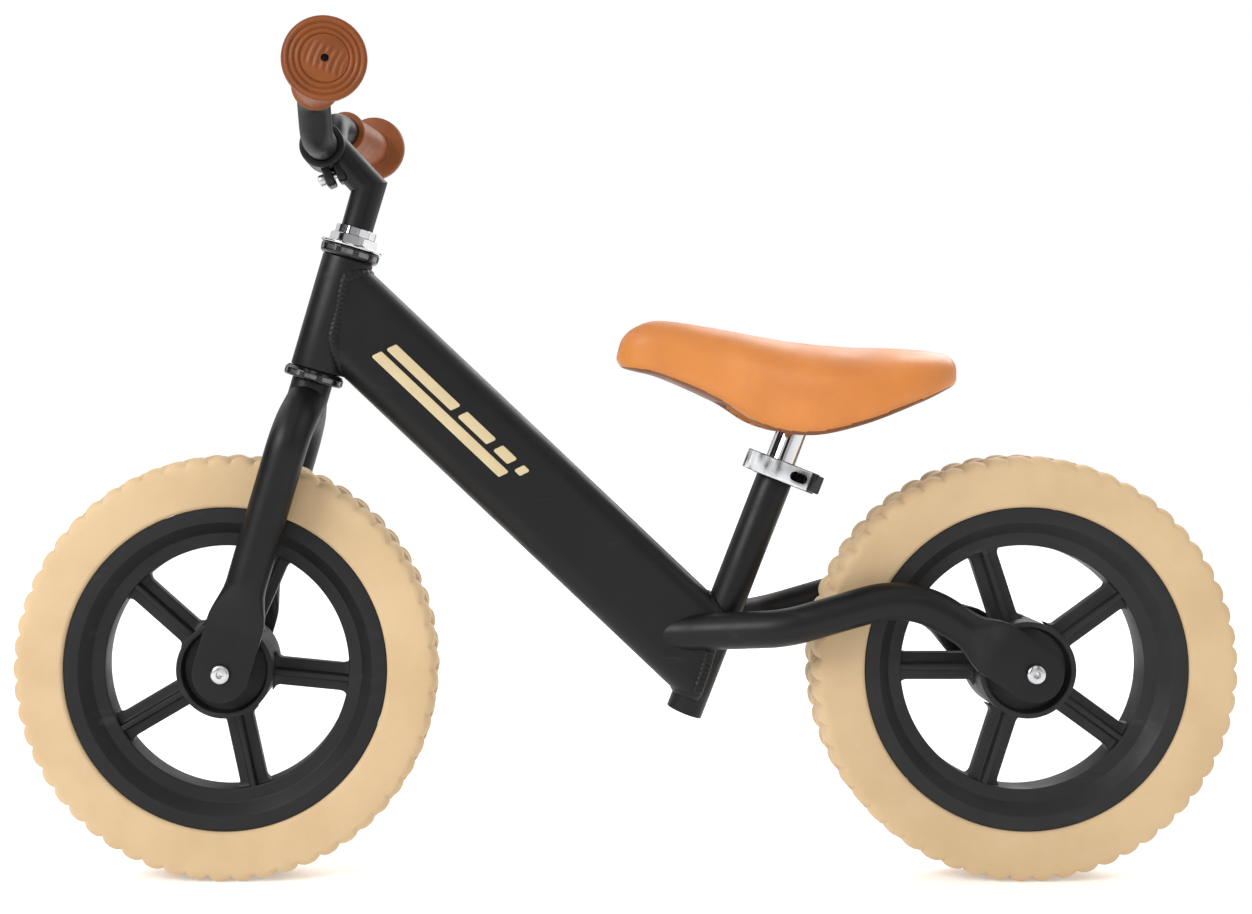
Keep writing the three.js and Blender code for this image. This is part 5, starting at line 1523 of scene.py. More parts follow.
@dataclass
class Handlebar:
    """The bent bar and its two grips; the axes are the bike's own, from the middle of the clamp."""

    radius: float = 11.1
    foot: tuple[float, float, float] = (50.0, 0.0, 0.0)
    rise: tuple[float, float, float] = (70.0, 0.0, 26.0)
    end: tuple[float, float, float] = (189.0, 20.1, 26.0)
    bend: float = 22.0
    grip_length: float = 97.0
    grip_radius: float = 14.0
    inner_flange: float = 16.0
    inner_width: float = 3.5
    outer_flange: float = 25.5
    outer_width: float = 9.0
    past_end: float = 5.0
    end_radius: float = 24.6
    end_pitch: float = 0.42
    end_hole: float = 2.4
    hole_depth: float = 4.6
    dome_radius: float = 14.4
    ring_count: int = 3
    ridge_pitch: float = 4.1
    ridge_slant: float = 67.0
    ridge_height: float = 0.9

    def build(self) -> None:
        """Builds and places the bar and both grips."""
        place = upright(joint("bar_roll")["pos_m"])
        half = bent_line([((0, 0, 0), 0), (self.foot, self.bend), (self.rise, self.bend), (self.end, 0)], 12)
        left = half[1:]
        line = [Vector((-point.x, point.y, point.z)) for point in reversed(left)] + left
        bar = Shell("handlebar_tube", place).sweep(line, tube_section(self.radius, 56), Vector((0, 0, 1)))
        place_piece(bar.make(50), BAR_BLACK, "handlebar", "black_steel", "handlebar")
        way = (Vector(self.end) - Vector(self.rise)).normalized()
        across = Vector((0, 0, 1)).cross(way).normalized()
        tall = way.cross(across)
        axes = Matrix((across, tall, way)).transposed().to_4x4()
        axes.translation = Vector(self.end)
        for name, flip in (("left", ORIGIN), ("right", MIRROR)):
            grip = self._grip(f"grip_{name}_rubber", place @ flip @ axes)
            place_piece(grip, GRIP_RUBBER, "handlebar", "grip_rubber", f"grip_{name}")

    def _grip(self, name: str, place: Matrix) -> bpy.types.Object:
        """Builds one grip with both flanges and its patterned end, with painted shade in the end's hole.

        Args:
            name: the piece's name.
            place: the grip's axes, with z outwards along the bar from the bar's end.

        Returns:
            The new piece.
        """
        end = self.past_end
        start = end - self.grip_length
        bore = self.radius + 0.25
        wide = self.outer_flange
        corners = [(bore, start, 0.4), (self.inner_flange - 0.6, start, 0.8),
                   (self.inner_flange, start + 1.6, 1.4),
                   (self.grip_radius, start + self.inner_width + 0.4, 1.6),
                   (self.grip_radius, end - self.outer_width - 1.0, 3.0),
                   (wide - 1.0, end - self.outer_width + 0.6, 1.4),
                   (wide, end - self.outer_width + 2.4, 1.6), (wide, end - 3.0, 1.6)]
        side = rounded(corners, 5, closed=False)
        shell = Shell(name, place)
        steps = 144
        radii = [wide * 0.985]
        count = int((self.end_radius - self.end_hole - 0.6) / self.end_pitch) + 1
        radii += [self.end_radius - index * self.end_pitch for index in range(count)]
        floor = end - self.hole_depth
        rings = []
        for step in range(steps):
            angle = FULL_TURN * step / steps
            ring = [Vector((r * math.cos(angle), r * math.sin(angle), z)) for r, z in side]
            for radius in radii:
                x, y = radius * math.cos(angle), radius * math.sin(angle)
                ring.append(Vector((x, y, self._end_height(x, y, radius, end))))
            for radius, height in ((self.end_hole, end - 0.5), (self.end_hole, floor), (0.0, floor)):
                ring.append(Vector((radius * math.cos(angle), radius * math.sin(angle), height)))
            rings.append(ring)
        shell.rings(rings, loop=True, caps=False, closed=False)
        grip = shell.make(45)
        GRIP_RUBBER.dress(grip)
        # The deep part of the end's hole, its lower wall and its floor, takes the bar's black: painted shade
        # in the hole.
        grip.data.materials.append(BAR_BLACK.material())
        to_local = place.inverted()
        for face in grip.data.polygons:
            middle = to_local @ face.center
            in_shaded_hole = math.hypot(middle.x, middle.y) < self.end_hole + 0.05 and middle.z > 0
            face.material_index = int(in_shaded_hole and middle.z < end - 1.2)
        return grip

    def _end_height(self, x: float, y: float, radius: float, end: float) -> float:
        """Gives the height of the grip's end face: raised rings outside, and slanted ridges on a dome.

        Args:
            x: the first coordinate.
            y: the second coordinate.
            radius: the distance from the grip's axis.
            end: the height of the grip's end.

        Returns:
            The height.
        """
        floor = end - 1.3
        if radius > self.dome_radius:
            span = 24.7 - self.dome_radius
            part = (radius - self.dome_radius) / span * self.ring_count
            wave = 0.5 - 0.5 * math.cos(part * FULL_TURN)
            rim = share(radius, 24.4, 25.2)
            return floor - 0.75 + 1.15 * wave ** 0.7 * (1 - rim) + 0.2 * rim
        dome = 1.0 * (1 - (radius / self.dome_radius) ** 2)
        slant = math.radians(self.ridge_slant)
        along = x * math.cos(slant) + y * math.sin(slant)
        beside = -x * math.sin(slant) + y * math.cos(slant) + 0.016 * along * along
        ridge = 0.5 + 0.5 * math.cos(beside * FULL_TURN / self.ridge_pitch)
        fade = (1 - share(abs(along), 5.0, 9.0)) * (1 - share(abs(beside), 11.0, 13.0))
        hole = share(radius, 2.8, 3.6)
        return floor - 0.3 + dome * 0.8 + self.ridge_height * (ridge - 0.5) * fade * hole + 0.25


# ---------------------------------------------------------------- wheels

@dataclass
class Wheel:
    """One wheel: a foam tyre on a moulded rim with five ribbed spokes, and the axle's two bolts.

    The local z axis is the axle, towards the rider's left, x points backwards and y upwards.
    """

    name: str
    body: str
    carrier: str
    first_spoke: float
    finish: Finish
    tyre_radius: float = 147.5
    tyre_half: float = 22.0
    rim_radius: float = 112.0
    shoulder: float = 7.0
    knobs: int = 57
    knob_steps: int = 8
    knob_depth: float = 2.9
    band_half: float = 20.0
    band_inner: float = 85.0
    spoke_half: float = 9.5
    web_half: float = 4.5
    rib_half: float = 1.7
    rib_height: float = 10.0
    spoke_count: int = 5
    hub_radius: float = 33.5
    hub_half: float = 23.0
    recess_radius: float = 29.7
    recess_depth: float = 9.0
    boss_radius: float = 17.0
    bore: float = 14.2
    bolt_seat: float = 38.8
    bolt_radius: float = 6.4
    bolt_height: float = 3.6

    def build(self) -> None:
        """Builds and places the tyre, the rim and both axle bolts."""
        centre = Vector(joint(f"{self.name}_wheel_spin")["pos_m"])
        axes = Matrix(((0, 0, 1, 0), (1, 0, 0, 0), (0, 1, 0, 0), (0, 0, 0, 1)))
        self.place = Matrix.Translation((0, centre.y, centre.z)) @ axes @ Matrix.Scale(MM, 4)
        place_piece(self._tyre(), TYRE_FOAM, self.body, "tyre_foam", f"{self.name}_tyre")
        place_piece(self._rim(), self.finish, self.body, "rim_plastic", f"{self.name}_rim")
        for side, label in ((1, "left"), (-1, "right")):
            bolt = Shell(f"{self.name}_bolt_{label}_turned", self.place)
            facing = ORIGIN if side > 0 else turn(180, "X")
            seat = facing @ move(0, 0, self.bolt_seat)
            socket_head(bolt, self.bolt_radius, self.bolt_height, 2.3, 2.4, seat, dome=1.5)
            place_piece(bolt.make(), ZINC, self.carrier, "zinc", f"{self.name}_axle_bolt_{label}")

    def _tyre(self) -> bpy.types.Object:
        """Builds the tyre with its three rows of knobs.

        Returns:
            The new piece.
        """
        steps = self.knobs * self.knob_steps
        half = self.tyre_half
        high = self.tyre_radius
        low = self.rim_radius + 0.3
        rings = []
        for step in range(steps):
            angle = FULL_TURN * step / steps
            near = self._notch(step / self.knob_steps)
            centre = self._notch(step / self.knob_steps + 0.5)
            far = self._notch(step / self.knob_steps + 0.5)
            ring = [(low, -half + 2.0), (low + 1.2, -half + 0.4), (low + 3.0, -half), (high - 10, -half)]
            ring += self._shoulder(-1, far)
            ring += [(high - far, -8.2), (high - 2.2, -7.4), (high - 2.2, -6.0), (high - 0.2 - centre, -5.2),
                     (high - 0.1 - centre, 0.0), (high - 0.2 - centre, 5.2), (high - 2.2, 6.0),
                     (high - 2.2, 7.4), (high - near, 8.2)]
            ring += [(radius, -x) for radius, x in reversed(self._shoulder(-1, near))]
            ring += [(high - 10, half), (low + 3.0, half), (low + 1.2, half - 0.4), (low, half - 2.0)]
            rings.append([Vector((r * math.cos(angle), r * math.sin(angle), z)) for r, z in ring])
        return Shell(f"{self.name}_tyre_foam", self.place).rings(rings, loop=True, caps=False).make(50)

    def _notch(self, knob: float) -> float:
        """Gives how far the tread lies below its height, from how many knobs have gone by."""
        part = abs(2 * (knob % 1.0) - 1)
        return self.knob_depth * part ** 2.6

    def _shoulder(self, side: int, notch: float) -> Outline:
        """Gives the rounded shoulder's points, with the notch fading down the side.

        Args:
            side: 1 or -1, the side of the tyre.
            notch: how far the tread lies below its height there.

        Returns:
            The shoulder's points.
        """
        points = []
        for step in range(6):
            angle = math.pi / 2 * step / 5
            sink = notch * share(step, -0.5, 3.0)
            radius = self.tyre_radius - self.shoulder + self.shoulder * math.sin(angle) - sink
            points.append((radius, side * (self.tyre_half - self.shoulder * (1 - math.cos(angle)))))
        return points

    def _rim(self) -> bpy.types.Object:
        """Builds the moulded rim: the band, the hub and the spokes.

        Returns:
            The new piece.
        """
        shell = Shell(f"{self.name}_rim_moulding", self.place)
        half = self.band_half
        band = [(self.band_inner, -10.5, 1.2), (94.0, -11.5, 1.5), (102.0, -half, 0.8),
                (self.rim_radius, -half, 0.6), (self.rim_radius, half, 0.6), (102.0, half, 0.8),
                (94.0, 11.5, 1.5), (self.band_inner, 10.5, 1.2)]
        shell.lathe(rounded(band, 4), 180)
        deep = self.hub_half - self.recess_depth
        hub_side = [(self.hub_radius, self.hub_half, 1.0), (self.recess_radius, self.hub_half, 0.7),
                    (self.recess_radius - 0.8, deep, 1.6), (self.boss_radius + 0.6, deep, 1.4),
                    (self.boss_radius, self.hub_half - 2.0, 1.0), (self.bore, self.hub_half - 2.0, 0.5)]
        hub = hub_side + [(r, -x, soft) for r, x, soft in reversed(hub_side)]
        shell.lathe(rounded(hub, 4), 120)
        for count in range(self.spoke_count):
            angle = self.first_spoke + 360.0 / self.spoke_count * count
            shell.rings(self._spoke(), place=turn(angle, "Z"))
        return shell.make(34)

    def _spoke(self) -> list[list[Vector]]:
        """Gives one spoke's rings, from the hub to the band, flared into both.

        Returns:
            The rings.
        """
        low = self.hub_radius - 1.2
        high = self.band_inner + 1.0
        stations = [0, 0.6, 1.4, 2.4, 3.6, 5.2, 8, 14, 22, 30, 36, 41, 44.5, 47, 49, 50.6, 51.9, 52.9, 53.7]
        rings = []
        for station in stations:
            along = low + station / stations[-1] * (high - low)
            flare = self._flare(along - self.hub_radius, 4.0) + self._flare(self.band_inner - along, 5.5)
            web = self.spoke_half + flare
            thin = self.web_half + 0.25 * flare
            rib = self.rib_half
            quarter = [(web, thin, 1.2), (rib + 1.1, thin + 0.2, 1.3), (rib, self.rib_height, 0.8)]
            upper = quarter + [(-a, b, soft) for a, b, soft in reversed(quarter)]
            lower = [(-a, -b, soft) for a, b, soft in upper]
            corners = lower[-1:] + upper + lower[:-1]
            rings.append([Vector((along, a, b)) for a, b in rounded(corners, 3)])
        return rings

    @staticmethod
    def _flare(distance: float, radius: float) -> float:
        """Gives how much a spoke widens near a wall, as a quarter round of that radius.

        Args:
            distance: the distance from the wall.
            radius: the quarter round's radius.

        Returns:
            The added half width.
        """
        if distance >= radius:
            return 0.0
        reach = radius - max(distance, 0.0)
        return radius - math.sqrt(max(radius * radius - reach * reach, 0.0))


# ---------------------------------------------------------------- seat clamp and saddle

@dataclass
class SeatClamp:
    """The quick-release clamp on the seat tube: split collar, cam, lever and nut."""

    middle: float = 182.3
    height: float = 14.4
    radius: float = 16.4
    bore: float = 12.95
    ear_from: float = 1.5
    ear_to: float = 6.1
    ear_reach: float = 28.0
    pin: tuple[float, float] = (16.6, 22.4)
    cam_radius: float = 6.9
    cam_height: float = 12.6
    lever_thickness: float = 3.2
    lever_height: float = 13.8
    window: tuple[float, float] = (12.0, 6.6)
    window_at: float = 11.6
    lever_line: tuple[tuple[float, float], ...] = (
        (21.8, 19.4), (19.6, 8.0), (18.8, -2.0), (15.8, -12.0), (16.2, -19.8), (19.4, -25.6))

    def build(self) -> None:
        """Builds and places the collar, the cam, the lever and the nut."""
        self.place = seating_axes() @ move(0, 0, self.middle)
        self._collar()
        half = self.cam_height / 2
        cam = Shell("lever_cam_turned", self.place)
        profile = rounded([(0.0, -half, 0), (self.cam_radius, -half, 1.0), (self.cam_radius, half, 1.0),
                           (0.0, half, 0)], 4, closed=False)
        cam.lathe(profile, 64, closed=False, place=move(*self.pin, 0))
        place_piece(cam.make(), GLOSS_BLACK, "clamp_lever", "black_steel", "lever_cam")
        self._lever()
        low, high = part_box("clamp_nut")
        centre = Vector((0, (low.y + high.y) / 2, (low.z + high.z) / 2))
        outward = Matrix(((0, 0, -1, 0), (-1, 0, 0, 0), (0, 1, 0, 0), (0, 0, 0, 1)))
        nut_place = Matrix.Translation((high.x, centre.y, centre.z)) @ outward @ Matrix.Scale(MM, 4)
        depth = (high.x - low.x) / MM
        radius = (high.y - low.y) / 2 / MM * 0.99
        profile = rounded([(2.7, 0.0, 0.2), (radius, 0.0, 0.8), (radius, depth - 1.5, 1.5),
                           (radius * 0.6, depth, 0.8), (0.0, depth, 0)], 4, closed=False)

        def knurled(angle: float, reach: float, height: float) -> tuple[float, float]:
            """Sinks fine grooves into the outer wall."""
            groove = 0.25 * (0.5 + 0.5 * math.cos(angle * 24)) if reach > radius - 0.4 else 0.0
            return reach - groove, height
        nut = Shell("clamp_nut_turned", nut_place).lathe(profile, 192, closed=False, shape=knurled)
        place_piece(nut.make(), ALLOY, "clamp_nut", "collar_alloy", "clamp_nut")

    def _collar(self) -> None:
        """Builds the split collar with its two ears."""
        half = self.height / 2
        outer_from = math.acos(self.ear_to / self.radius)
        inner_from = math.acos(self.ear_from / self.bore)
        steps = 60
        outline: Outline = []
        span = FULL_TURN - 2 * (math.pi / 2 - outer_from)
        begin = math.pi - outer_from
        for step in range(steps + 1):
            angle = begin + span * step / steps
            outline.append((self.radius * math.cos(angle), self.radius * math.sin(angle)))
        reach = self.ear_reach
        outline += [(self.ear_to, reach - 1.5), (self.ear_to - 0.5, reach - 0.5), (self.ear_to - 1.5, reach),
                    (self.ear_from, reach)]
        span = FULL_TURN - 2 * (math.pi / 2 - inner_from)
        for step in range(steps + 1):
            angle = inner_from - span * step / steps
            outline.append((self.bore * math.cos(angle), self.bore * math.sin(angle)))
        outline += [(-self.ear_from, reach), (1.5 - self.ear_to, reach), (0.5 - self.ear_to, reach - 0.5),
                    (-self.ear_to, reach - 1.5)]
        shell = Shell("seat_collar_split", self.place).prism(outline, -half, half, 0.6)
        place_piece(shell.make(), GLOSS_BLACK, "frame", "collar_alloy", "seat_collar")

    def _lever(self) -> None:
        """Builds the curved lever with its oval window."""
        line = smooth_line([(*point, 0) for point in self.lever_line], 8)
        half = self.lever_thickness / 2
        right: Outline = []
        left: Outline = []
        count = len(line)
        for index, here in enumerate(line):
            way = (line[min(index + 1, count - 1)] - line[max(index - 1, 0)]).normalized()
            side = Vector((-way.y, way.x, 0))
            thick = half * (1 + 0.35 * share(index, count * 0.72, count - 1))
            right.append(tuple((here - side * thick).xy))
            left.append(tuple((here + side * thick).xy))
        way = (line[-1] - line[-2]).normalized()
        tip = line[-1] + way * half * 0.8
        side = Vector((-way.y, way.x, 0))
        end = [tuple((tip - side * half * 0.7).xy), tuple((tip + side * half * 0.7).xy)]
        outline = right + end + list(reversed(left))
        height = self.lever_height / 2
        lever = Shell("clamp_lever_arm", self.place).prism(outline, -height, height, 0.9).make(30)
        wide, tall = self.window
        slot = [(b, a) for a, b in rectangle(tall, wide, tall / 2 - 0.05, 8)][::-1]
        facing = Matrix(((0, 0, 1, 0), (1, 0, 0, 0), (0, 1, 0, 0), (0, 0, 0, 1)))
        cutter = Shell("lever_window_cutter", self.place @ move(0, self.window_at, 0) @ facing)
        cut(lever, cutter.prism(slot, 15, 28, 0.3).make())
        place_piece(lever, ALLOY, "clamp_lever", "collar_alloy", "clamp_lever")


@dataclass
class Saddle:
    """The padded saddle and the seatpost with its flange. Stations run from the nose to the tail."""

    origin: tuple[float, float, float] = (0.0, 122.9, 306.65)
    stations: tuple[tuple[float, float, float, float], ...] = (
        (-128, 57.5, 55.5, 3), (-124, 70.5, 50, 12), (-114, 79, 47, 20), (-97, 83, 42.5, 25),
        (-60, 77.5, 26, 32), (-30, 71.5, 7, 44), (0, 66.5, 0, 56), (32, 63.5, 7, 65), (66, 63, 21, 67),
        (92, 61, 33, 54), (102, 56, 38, 34), (105, 47.5, 46, 6))
    upper_power: float = 0.85
    lower_power: float = 0.42
    rings_a_span: int = 5
    sides: int = 64
    recess_from: float = -74.0
    recess_to: float = 78.0
    recess_rim: float = 12.0
    recess_depth: float = 26.0
    swell_mm: float = 3.0
    swell_share: float = 0.5
    swell_frames: int = 20
    pressure: float = 4.0
    # Faces whose normal points further down than this take the darker tan: a dark hem with painted shade.
    stiffness: float = 40.0
    underside_shade_normal: float = -0.72
    post_radius: float = 11.1
    post_low: float = 110.5
    flange: tuple[float, float, float] = (40.0, 62.0, 4.0)
    flange_low: float = 323.35

    def build(self) -> None:
        """Builds and places the pad, with a darker tan on its underside as a dark hem and painted shade, and
        the post.
        """
        place = upright([value * MM for value in self.origin])
        pad = self._pad(place)
        SADDLE_SKIN.dress(pad)
        pad.data.materials.append(SADDLE_HEM_AND_SHADE.material())
        # Faces that look downwards take the darker tan: the dark hem and painted shade under the pad.
        for face in pad.data.polygons:
            face.material_index = int(face.normal.z < self.underside_shade_normal)
        place_piece(pad, SADDLE_SKIN, "seat", "saddle_leather", "saddle_pad")
        self._post()

    def _sections(self) -> list[tuple[float, float, float, float]]:
        """Gives smoothly interpolated stations.

        Returns:
            Each section as its place along, top, bottom and half width.
        """
        upper = smooth_line([station[:3] for station in self.stations], self.rings_a_span)
        lower = smooth_line([(s[0], s[3], 0) for s in self.stations], self.rings_a_span)
        return [(a.x, a.y, a.z, max(b.y, 0.5)) for a, b in zip(upper, lower)]

    def _ring(self, section: tuple[float, float, float, float]) -> list[Vector]:
        """Gives one ring of the saddle's skin.

        Args:
            section: the section.

        Returns:
            The ring's points.
        """
        along, top, bottom, half = section
        middle = (top + bottom) / 2
        tall = (top - bottom) / 2
        ring = []
        for step in range(self.sides):
            angle = FULL_TURN * step / self.sides
            c, s = math.cos(angle), math.sin(angle)
            power = self.upper_power if s > 0 else self.lower_power
            ring.append(Vector((half * math.copysign(abs(c) ** power, c), along,
                                middle + tall * math.copysign(abs(s) ** power, s))))
        return ring

    def _hollow(self, point: Vector) -> float:
        """Gives how much of the hollow under the saddle lies at a point, from 0 to 1.

        Args:
            point: the point.

        Returns:
            The share of the full depth.
        """
        lengthwise = share(point.y, self.recess_from, self.recess_from + 8) * (
            1 - share(point.y, self.recess_to - 8, self.recess_to))
        half = self._half_at(point.y) - self.recess_rim
        return lengthwise * (1 - share(abs(point.x), half - 6, half + 1)) if half > 6 else 0.0

    def _half_at(self, along: float) -> float:
        """Gives the saddle's half width at a distance along it.

        Args:
            along: the distance along the saddle.

        Returns:
            The half width.
        """
        pairs = [(s[0], s[3]) for s in self.stations]
        for (a, b), (c, d) in zip(pairs, pairs[1:]):
            if a <= along <= c:
                return b + (d - b) * (along - a) / (c - a)
        return 0.0

    def _pad(self, place: Matrix) -> bpy.types.Object:
        """Builds the pad, hollows its underside, and lets it swell.

        Args:
            place: the saddle's axes.

        Returns:
            The new piece.
        """
        sections = self._sections()
        rings = []
        for section in sections:
            ring = self._ring(section)
            for point in ring:
                if point.z < (section[1] + section[2]) / 2:
                    depth = max(0.0, self.recess_depth - point.z)
                    point.z += depth * self._hollow(point)
            rings.append(ring)
        pad = Shell("saddle_pad_skin", place).rings(rings).make(75)
        pad.data.shade_smooth()
        self._swell(pad)
        subdivision = pad.modifiers.new("soft", "SUBSURF")
        subdivision.levels = 1
        subdivision.render_levels = 1
        settle_modifiers(pad)
        return pad

    def _swell(self, pad: bpy.types.Object) -> None:
        """Swells the pad with a cloth simulation, with the underside and the lower edge held.

        Args:
            pad: the pad.
        """
        start = [vertex.co.copy() for vertex in pad.data.vertices]
        held = pad.vertex_groups.new(name="held")
        normals = [vertex.normal.copy() for vertex in pad.data.vertices]
        for index, normal in enumerate(normals):
            weight = 1.0 if normal.z < 0.25 else 1 - share(normal.z, 0.25, 0.55)
            held.add([index], weight, "REPLACE")
        modifier = pad.modifiers.new("swell", "CLOTH")
        settings = modifier.settings
        settings.use_pressure = True
        settings.uniform_pressure_force = self.pressure
        settings.effector_weights.gravity = 0.0
        settings.vertex_group_mass = "held"
        settings.quality = 5
        settings.tension_stiffness = self.stiffness
        settings.compression_stiffness = self.stiffness
        modifier.collision_settings.use_collision = False
        scene = bpy.context.scene
        for count in range(1, self.swell_frames + 1):
            scene.frame_set(count)
        graph = bpy.context.evaluated_depsgraph_get()
        shaped = pad.evaluated_get(graph).to_mesh()
        moved = [vertex.co.copy() for vertex in shaped.vertices]
        pad.evaluated_get(graph).to_mesh_clear()
        pad.modifiers.remove(modifier)
        pad.vertex_groups.remove(held)
        scene.frame_set(1)
        most = self.swell_mm * MM
        farthest = 0.0
        for vertex, before, after in zip(pad.data.vertices, start, moved):
            step = after - before
            if step.length > most:
                step = step.normalized() * most
            farthest = max(farthest, step.length)
            vertex.co = before + step * self.swell_share
        pad.data.update()
        LOG.info("saddle swell: at most %.2f mm", farthest / MM * self.swell_share)

    def _post(self) -> None:
        """Builds the seatpost and the flange that the saddle is bolted to."""
        seating = seating_axes()
        post = Shell("seatpost_tube", seating)
        along = seating.to_3x3().col[2].normalized()
        top = (self.flange_low * MM + 0.001 - seating.translation.z) / along.z / MM
        to_level = seating.inverted()
        rings = []
        outer = circle(self.post_radius, 72)
        for height, drawn in ((self.post_low, 0.5), (self.post_low + 0.5, 0.0), (top * 0.6, 0.0)):
            factor = (self.post_radius - drawn) / self.post_radius
            rings.append([Vector((x * factor, y * factor, height)) for x, y in outer])
        last = []
        for x, y in outer:
            world = seating @ Vector((x, y, 0))
            reach = (self.flange_low * MM + 0.001 - world.z) / along.z
            last.append(to_level @ (world + along * reach))
        rings.append(last)
        post.rings(rings)
        wide, long, thick = self.flange
        centre = seating @ Vector((0, 0, top))
        flat = Matrix.Translation((0, centre.y, self.flange_low * MM)) @ Matrix.Scale(MM, 4)
        post.prism(rectangle(wide, long, 6.0), 0, thick, 0.5, to_level @ flat)
        place_piece(post.make(50), CHROME, "seat", "chrome", "seatpost")


# ---------------------------------------------------------------- graphic and studio

@dataclass
class FrameGraphic:
    """A generic graphic of plain slanted bars, printed on the down tube's left flank."""

    start: tuple[float, float, float] = (0.0, -203.1, 401.9)
    end: tuple[float, float, float] = (0.0, 57.9, 155.0)
    surface: float = 17.0
    lift: float = 0.12
    first: float = 45.0
    rows: tuple[tuple[tuple[float, float], ...], ...] = (
        ((0, 122),), ((0, 62), (68, 28), (102, 14), (122, 6)))
    heights: tuple[float, float] = (-9.0, 9.0)
    slant: float = 7.0

    def build(self) -> None:
        """Builds and places the printed bars."""
        start = Vector(self.start)
        along = (Vector(self.end) - start).normalized()
        up = Vector((1, 0, 0)).cross(along).normalized()
        up = up if up.z > 0 else -up
        axes = Matrix((along, up, along.cross(up))).transposed().to_4x4()
        side = 1 if along.cross(up).x > 0 else -1
        axes.translation = start + Vector((self.surface, 0, 0))
        shell = Shell("frame_graphic", Matrix.Scale(MM, 4) @ axes)
        low, high = self.heights
        middle = (low + high) / 2
        rows = ((low, middle - 1.6), (middle + 1.6, high))
        for (bottom, top), bars in zip(rows, self.rows):
            for place, length in bars:
                begin = self.first + place
                lean_low = self.slant * (bottom - low) / (high - low)
                lean_high = self.slant * (top - low) / (high - low)
                corners = [(begin + lean_low, bottom, 1.2), (begin + length + lean_low, bottom, 1.2),
                           (begin + length + lean_high, top, 1.2), (begin + lean_high, top, 1.2)]
                depths = sorted((side * self.lift, -side * 0.1))
                shell.prism(rounded(corners, 4), depths[0], depths[1], 0.04)
        place_piece(shell.make(60), CREAM_INK, "frame", "frame_paint")


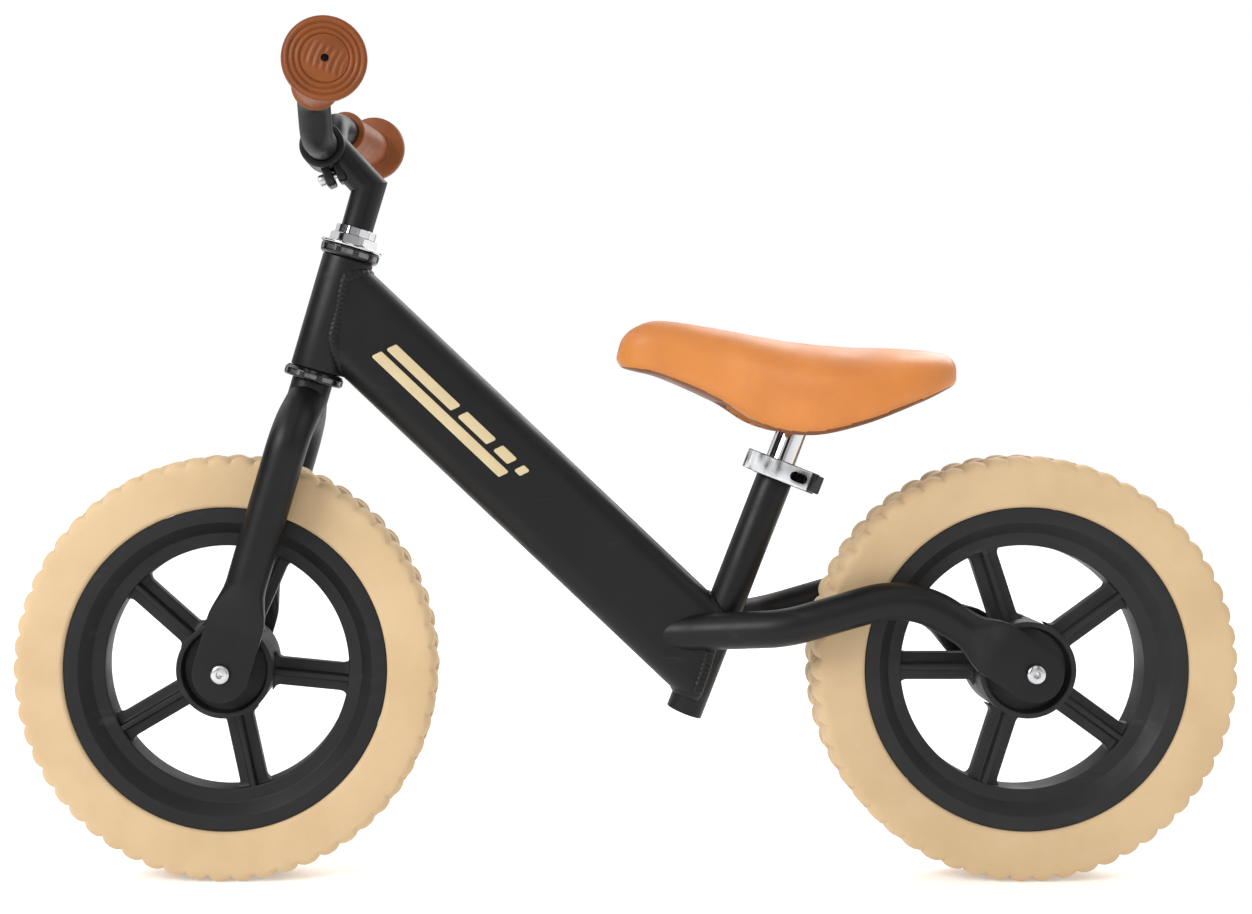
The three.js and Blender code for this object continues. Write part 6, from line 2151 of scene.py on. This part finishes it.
@dataclass
class Studio:
    """The pale floor, the soft lights and the camera."""

    floor_half: float = 6.0
    camera_at: tuple[float, float, float] = (1.175, -0.085, 0.3455)
    lens: float = 48.0
    sensor: float = 36.0
    shift: tuple[float, float] = (0.0982, -0.0587)
    backdrop: tuple[float, float, float] = (0.93, 0.93, 0.93)
    dome: float = 0.95
    sky_heights: tuple[float, float] = (-0.15, 0.75)
    sky_levels: tuple[float, float] = (0.42, 1.25)
    stripe_turns: float = 9.0
    stripe_start: float = 0.6
    stripe_edge: tuple[float, float] = (-0.5, -0.1)
    stripe_levels: tuple[float, float] = (0.04, 1.3)
    aim: tuple[float, float, float] = (0.0, 0.0, 0.25)
    lights: tuple[tuple[str, tuple[float, float, float], float, float], ...] = (
        ("key_light", (1.6, -1.9, 1.6), 1.2, 46.0), ("rear_light", (-1.6, 1.2, 1.7), 1.4, 26.0))

    def build(self) -> None:
        """Builds the floor, the light and the camera."""
        self._floor()
        self._lights()
        self._camera()
        bpy.context.scene.view_settings.view_transform = "Standard"

    def _floor(self) -> None:
        """Lays a wide round sheet as the floor."""
        rings = []
        for radius in (0.05, 0.5, 1.5, 3.0, self.floor_half):
            rings.append([Vector((x, y, 0)) for x, y in circle(radius * 1000, 64)])
        floor = Shell("studio_floor", Matrix.Scale(MM, 4))
        floor.rings(rings, caps=False)
        floor.mesh.faces.new([vert for vert in list(floor.mesh.verts)[:64]])
        sheet = floor.make()
        if sheet.data.polygons[0].normal.z < 0:
            sheet.data.flip_normals()
        FLOOR_PAPER.dress(sheet)

    def _lights(self) -> None:
        """Sets a pale world, brighter above and with dark panels to reflect, and two soft area lights."""
        world = bpy.data.worlds.new("studio_world")
        bpy.context.scene.world = world
        world.use_nodes = True
        tree = world.node_tree
        tree.nodes.clear()
        out = tree.nodes.new("ShaderNodeOutputWorld")
        mix = tree.nodes.new("ShaderNodeMixShader")
        path = tree.nodes.new("ShaderNodeLightPath")
        seen = tree.nodes.new("ShaderNodeBackground")
        seen.inputs["Color"].default_value = (*self.backdrop, 1.0)
        seen.inputs["Strength"].default_value = 1.08
        lit = tree.nodes.new("ShaderNodeBackground")
        lit.inputs["Strength"].default_value = self.dome
        where = tree.nodes.new("ShaderNodeTexCoord")
        split = tree.nodes.new("ShaderNodeSeparateXYZ")
        ramp = self._ramp(tree, self.sky_heights, self.sky_levels)
        tree.links.new(where.outputs["Generated"], split.inputs["Vector"])
        tree.links.new(split.outputs["Z"], ramp.inputs["Value"])
        stripe = tree.nodes.new("ShaderNodeMath")
        stripe.operation = "SINE"
        turned = tree.nodes.new("ShaderNodeMath")
        turned.operation = "MULTIPLY_ADD"
        turned.inputs[1].default_value = self.stripe_turns
        turned.inputs[2].default_value = self.stripe_start
        flag = self._ramp(tree, self.stripe_edge, self.stripe_levels)
        both = tree.nodes.new("ShaderNodeMath")
        both.operation = "MULTIPLY"
        tree.links.new(split.outputs["Y"], turned.inputs[0])
        tree.links.new(turned.outputs["Value"], stripe.inputs[0])
        tree.links.new(stripe.outputs["Value"], flag.inputs["Value"])
        tree.links.new(ramp.outputs["Result"], both.inputs[0])
        tree.links.new(flag.outputs["Result"], both.inputs[1])
        tree.links.new(both.outputs["Value"], lit.inputs["Color"])
        tree.links.new(path.outputs["Is Camera Ray"], mix.inputs["Fac"])
        tree.links.new(lit.outputs["Background"], mix.inputs[1])
        tree.links.new(seen.outputs["Background"], mix.inputs[2])
        tree.links.new(mix.outputs["Shader"], out.inputs["Surface"])
        for name, at, size, power in self.lights:
            light = bpy.data.lights.new(name, "AREA")
            light.size = size
            light.energy = power
            lamp = bpy.data.objects.new(name, light)
            lamp.location = at
            aim = Vector(self.aim) - Vector(at)
            lamp.rotation_euler = aim.to_track_quat("-Z", "Y").to_euler()
            bpy.context.scene.collection.objects.link(lamp)

    @staticmethod
    def _ramp(tree: bpy.types.NodeTree, values: tuple[float, float],
              levels: tuple[float, float]) -> bpy.types.Node:
        """Adds an eased change from one level to another, over a range of values.

        Args:
            tree: the world's nodes.
            values: the range's two ends.
            levels: the levels that they give.

        Returns:
            The new node.
        """
        ramp = tree.nodes.new("ShaderNodeMapRange")
        ramp.interpolation_type = "SMOOTHSTEP"
        for label, value in zip(("From Min", "From Max", "To Min", "To Max"), (*values, *levels)):
            ramp.inputs[label].default_value = value
        return ramp

    def _camera(self) -> None:
        """Sets the camera level with the bike's middle, square to its left side."""
        data = bpy.data.cameras.new("studio_camera")
        data.lens = self.lens
        data.sensor_width = self.sensor
        data.shift_x, data.shift_y = self.shift
        camera = bpy.data.objects.new("studio_camera", data)
        camera.location = self.camera_at
        camera.rotation_euler = (math.radians(90), 0, math.radians(90))
        bpy.context.scene.collection.objects.link(camera)
        bpy.context.scene.camera = camera


INNER_FINISHES: dict[str, tuple[Finish, tuple[str, ...]]] = {
    "steel": (BARE_STEEL, ("upper_bearing", "lower_bearing", "adjusting_cone", "crown_race", "front_axle",
                           "rear_axle", "front_bearing_left", "front_bearing_right", "rear_bearing_left",
                           "rear_bearing_right", "stem_wedge", "expander_bolt")),
    "zinc": (ZINC, ("clamp_skewer", "clamp_washer", "saddle_bolt_front", "saddle_bolt_rear",
                    "front_spacer_left", "front_spacer_right", "rear_spacer_left", "rear_spacer_right")),
    "black": (SATIN_PAINT, ("fork_steerer",)),
    "plastic": (RIM_PLASTIC, ("saddle_base",)),
}


def dress_inner_nodes() -> None:
    """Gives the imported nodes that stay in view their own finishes."""
    for finish, nodes in INNER_FINISHES.values():
        for name in nodes:
            node = frame["nodes"][name]
            finish.dress(node)
            LOG.info("%s keeps its packed shape, in %s", name, finish.name)


def main() -> None:
    """Builds the studio and every sub-assembly in order."""
    logging.basicConfig(level=logging.INFO, format="%(name)s: %(message)s")
    assemblies = [
        Studio(),
        SteelFrame(),
        Headset(),
        Fork(),
        Stem(),
        Handlebar(),
        Wheel("front", "front_wheel", "fork", -5.6, RIM_PLASTIC),
        Wheel("rear", "rear_wheel", "frame", 36.0, REAR_PLASTIC),
        SeatClamp(),
        Saddle(),
        FrameGraphic(),
    ]
    for assembly in assemblies:
        LOG.info("building %s", type(assembly).__name__)
        assembly.build()
    dress_inner_nodes()


if __name__ == "__main__":
    main()
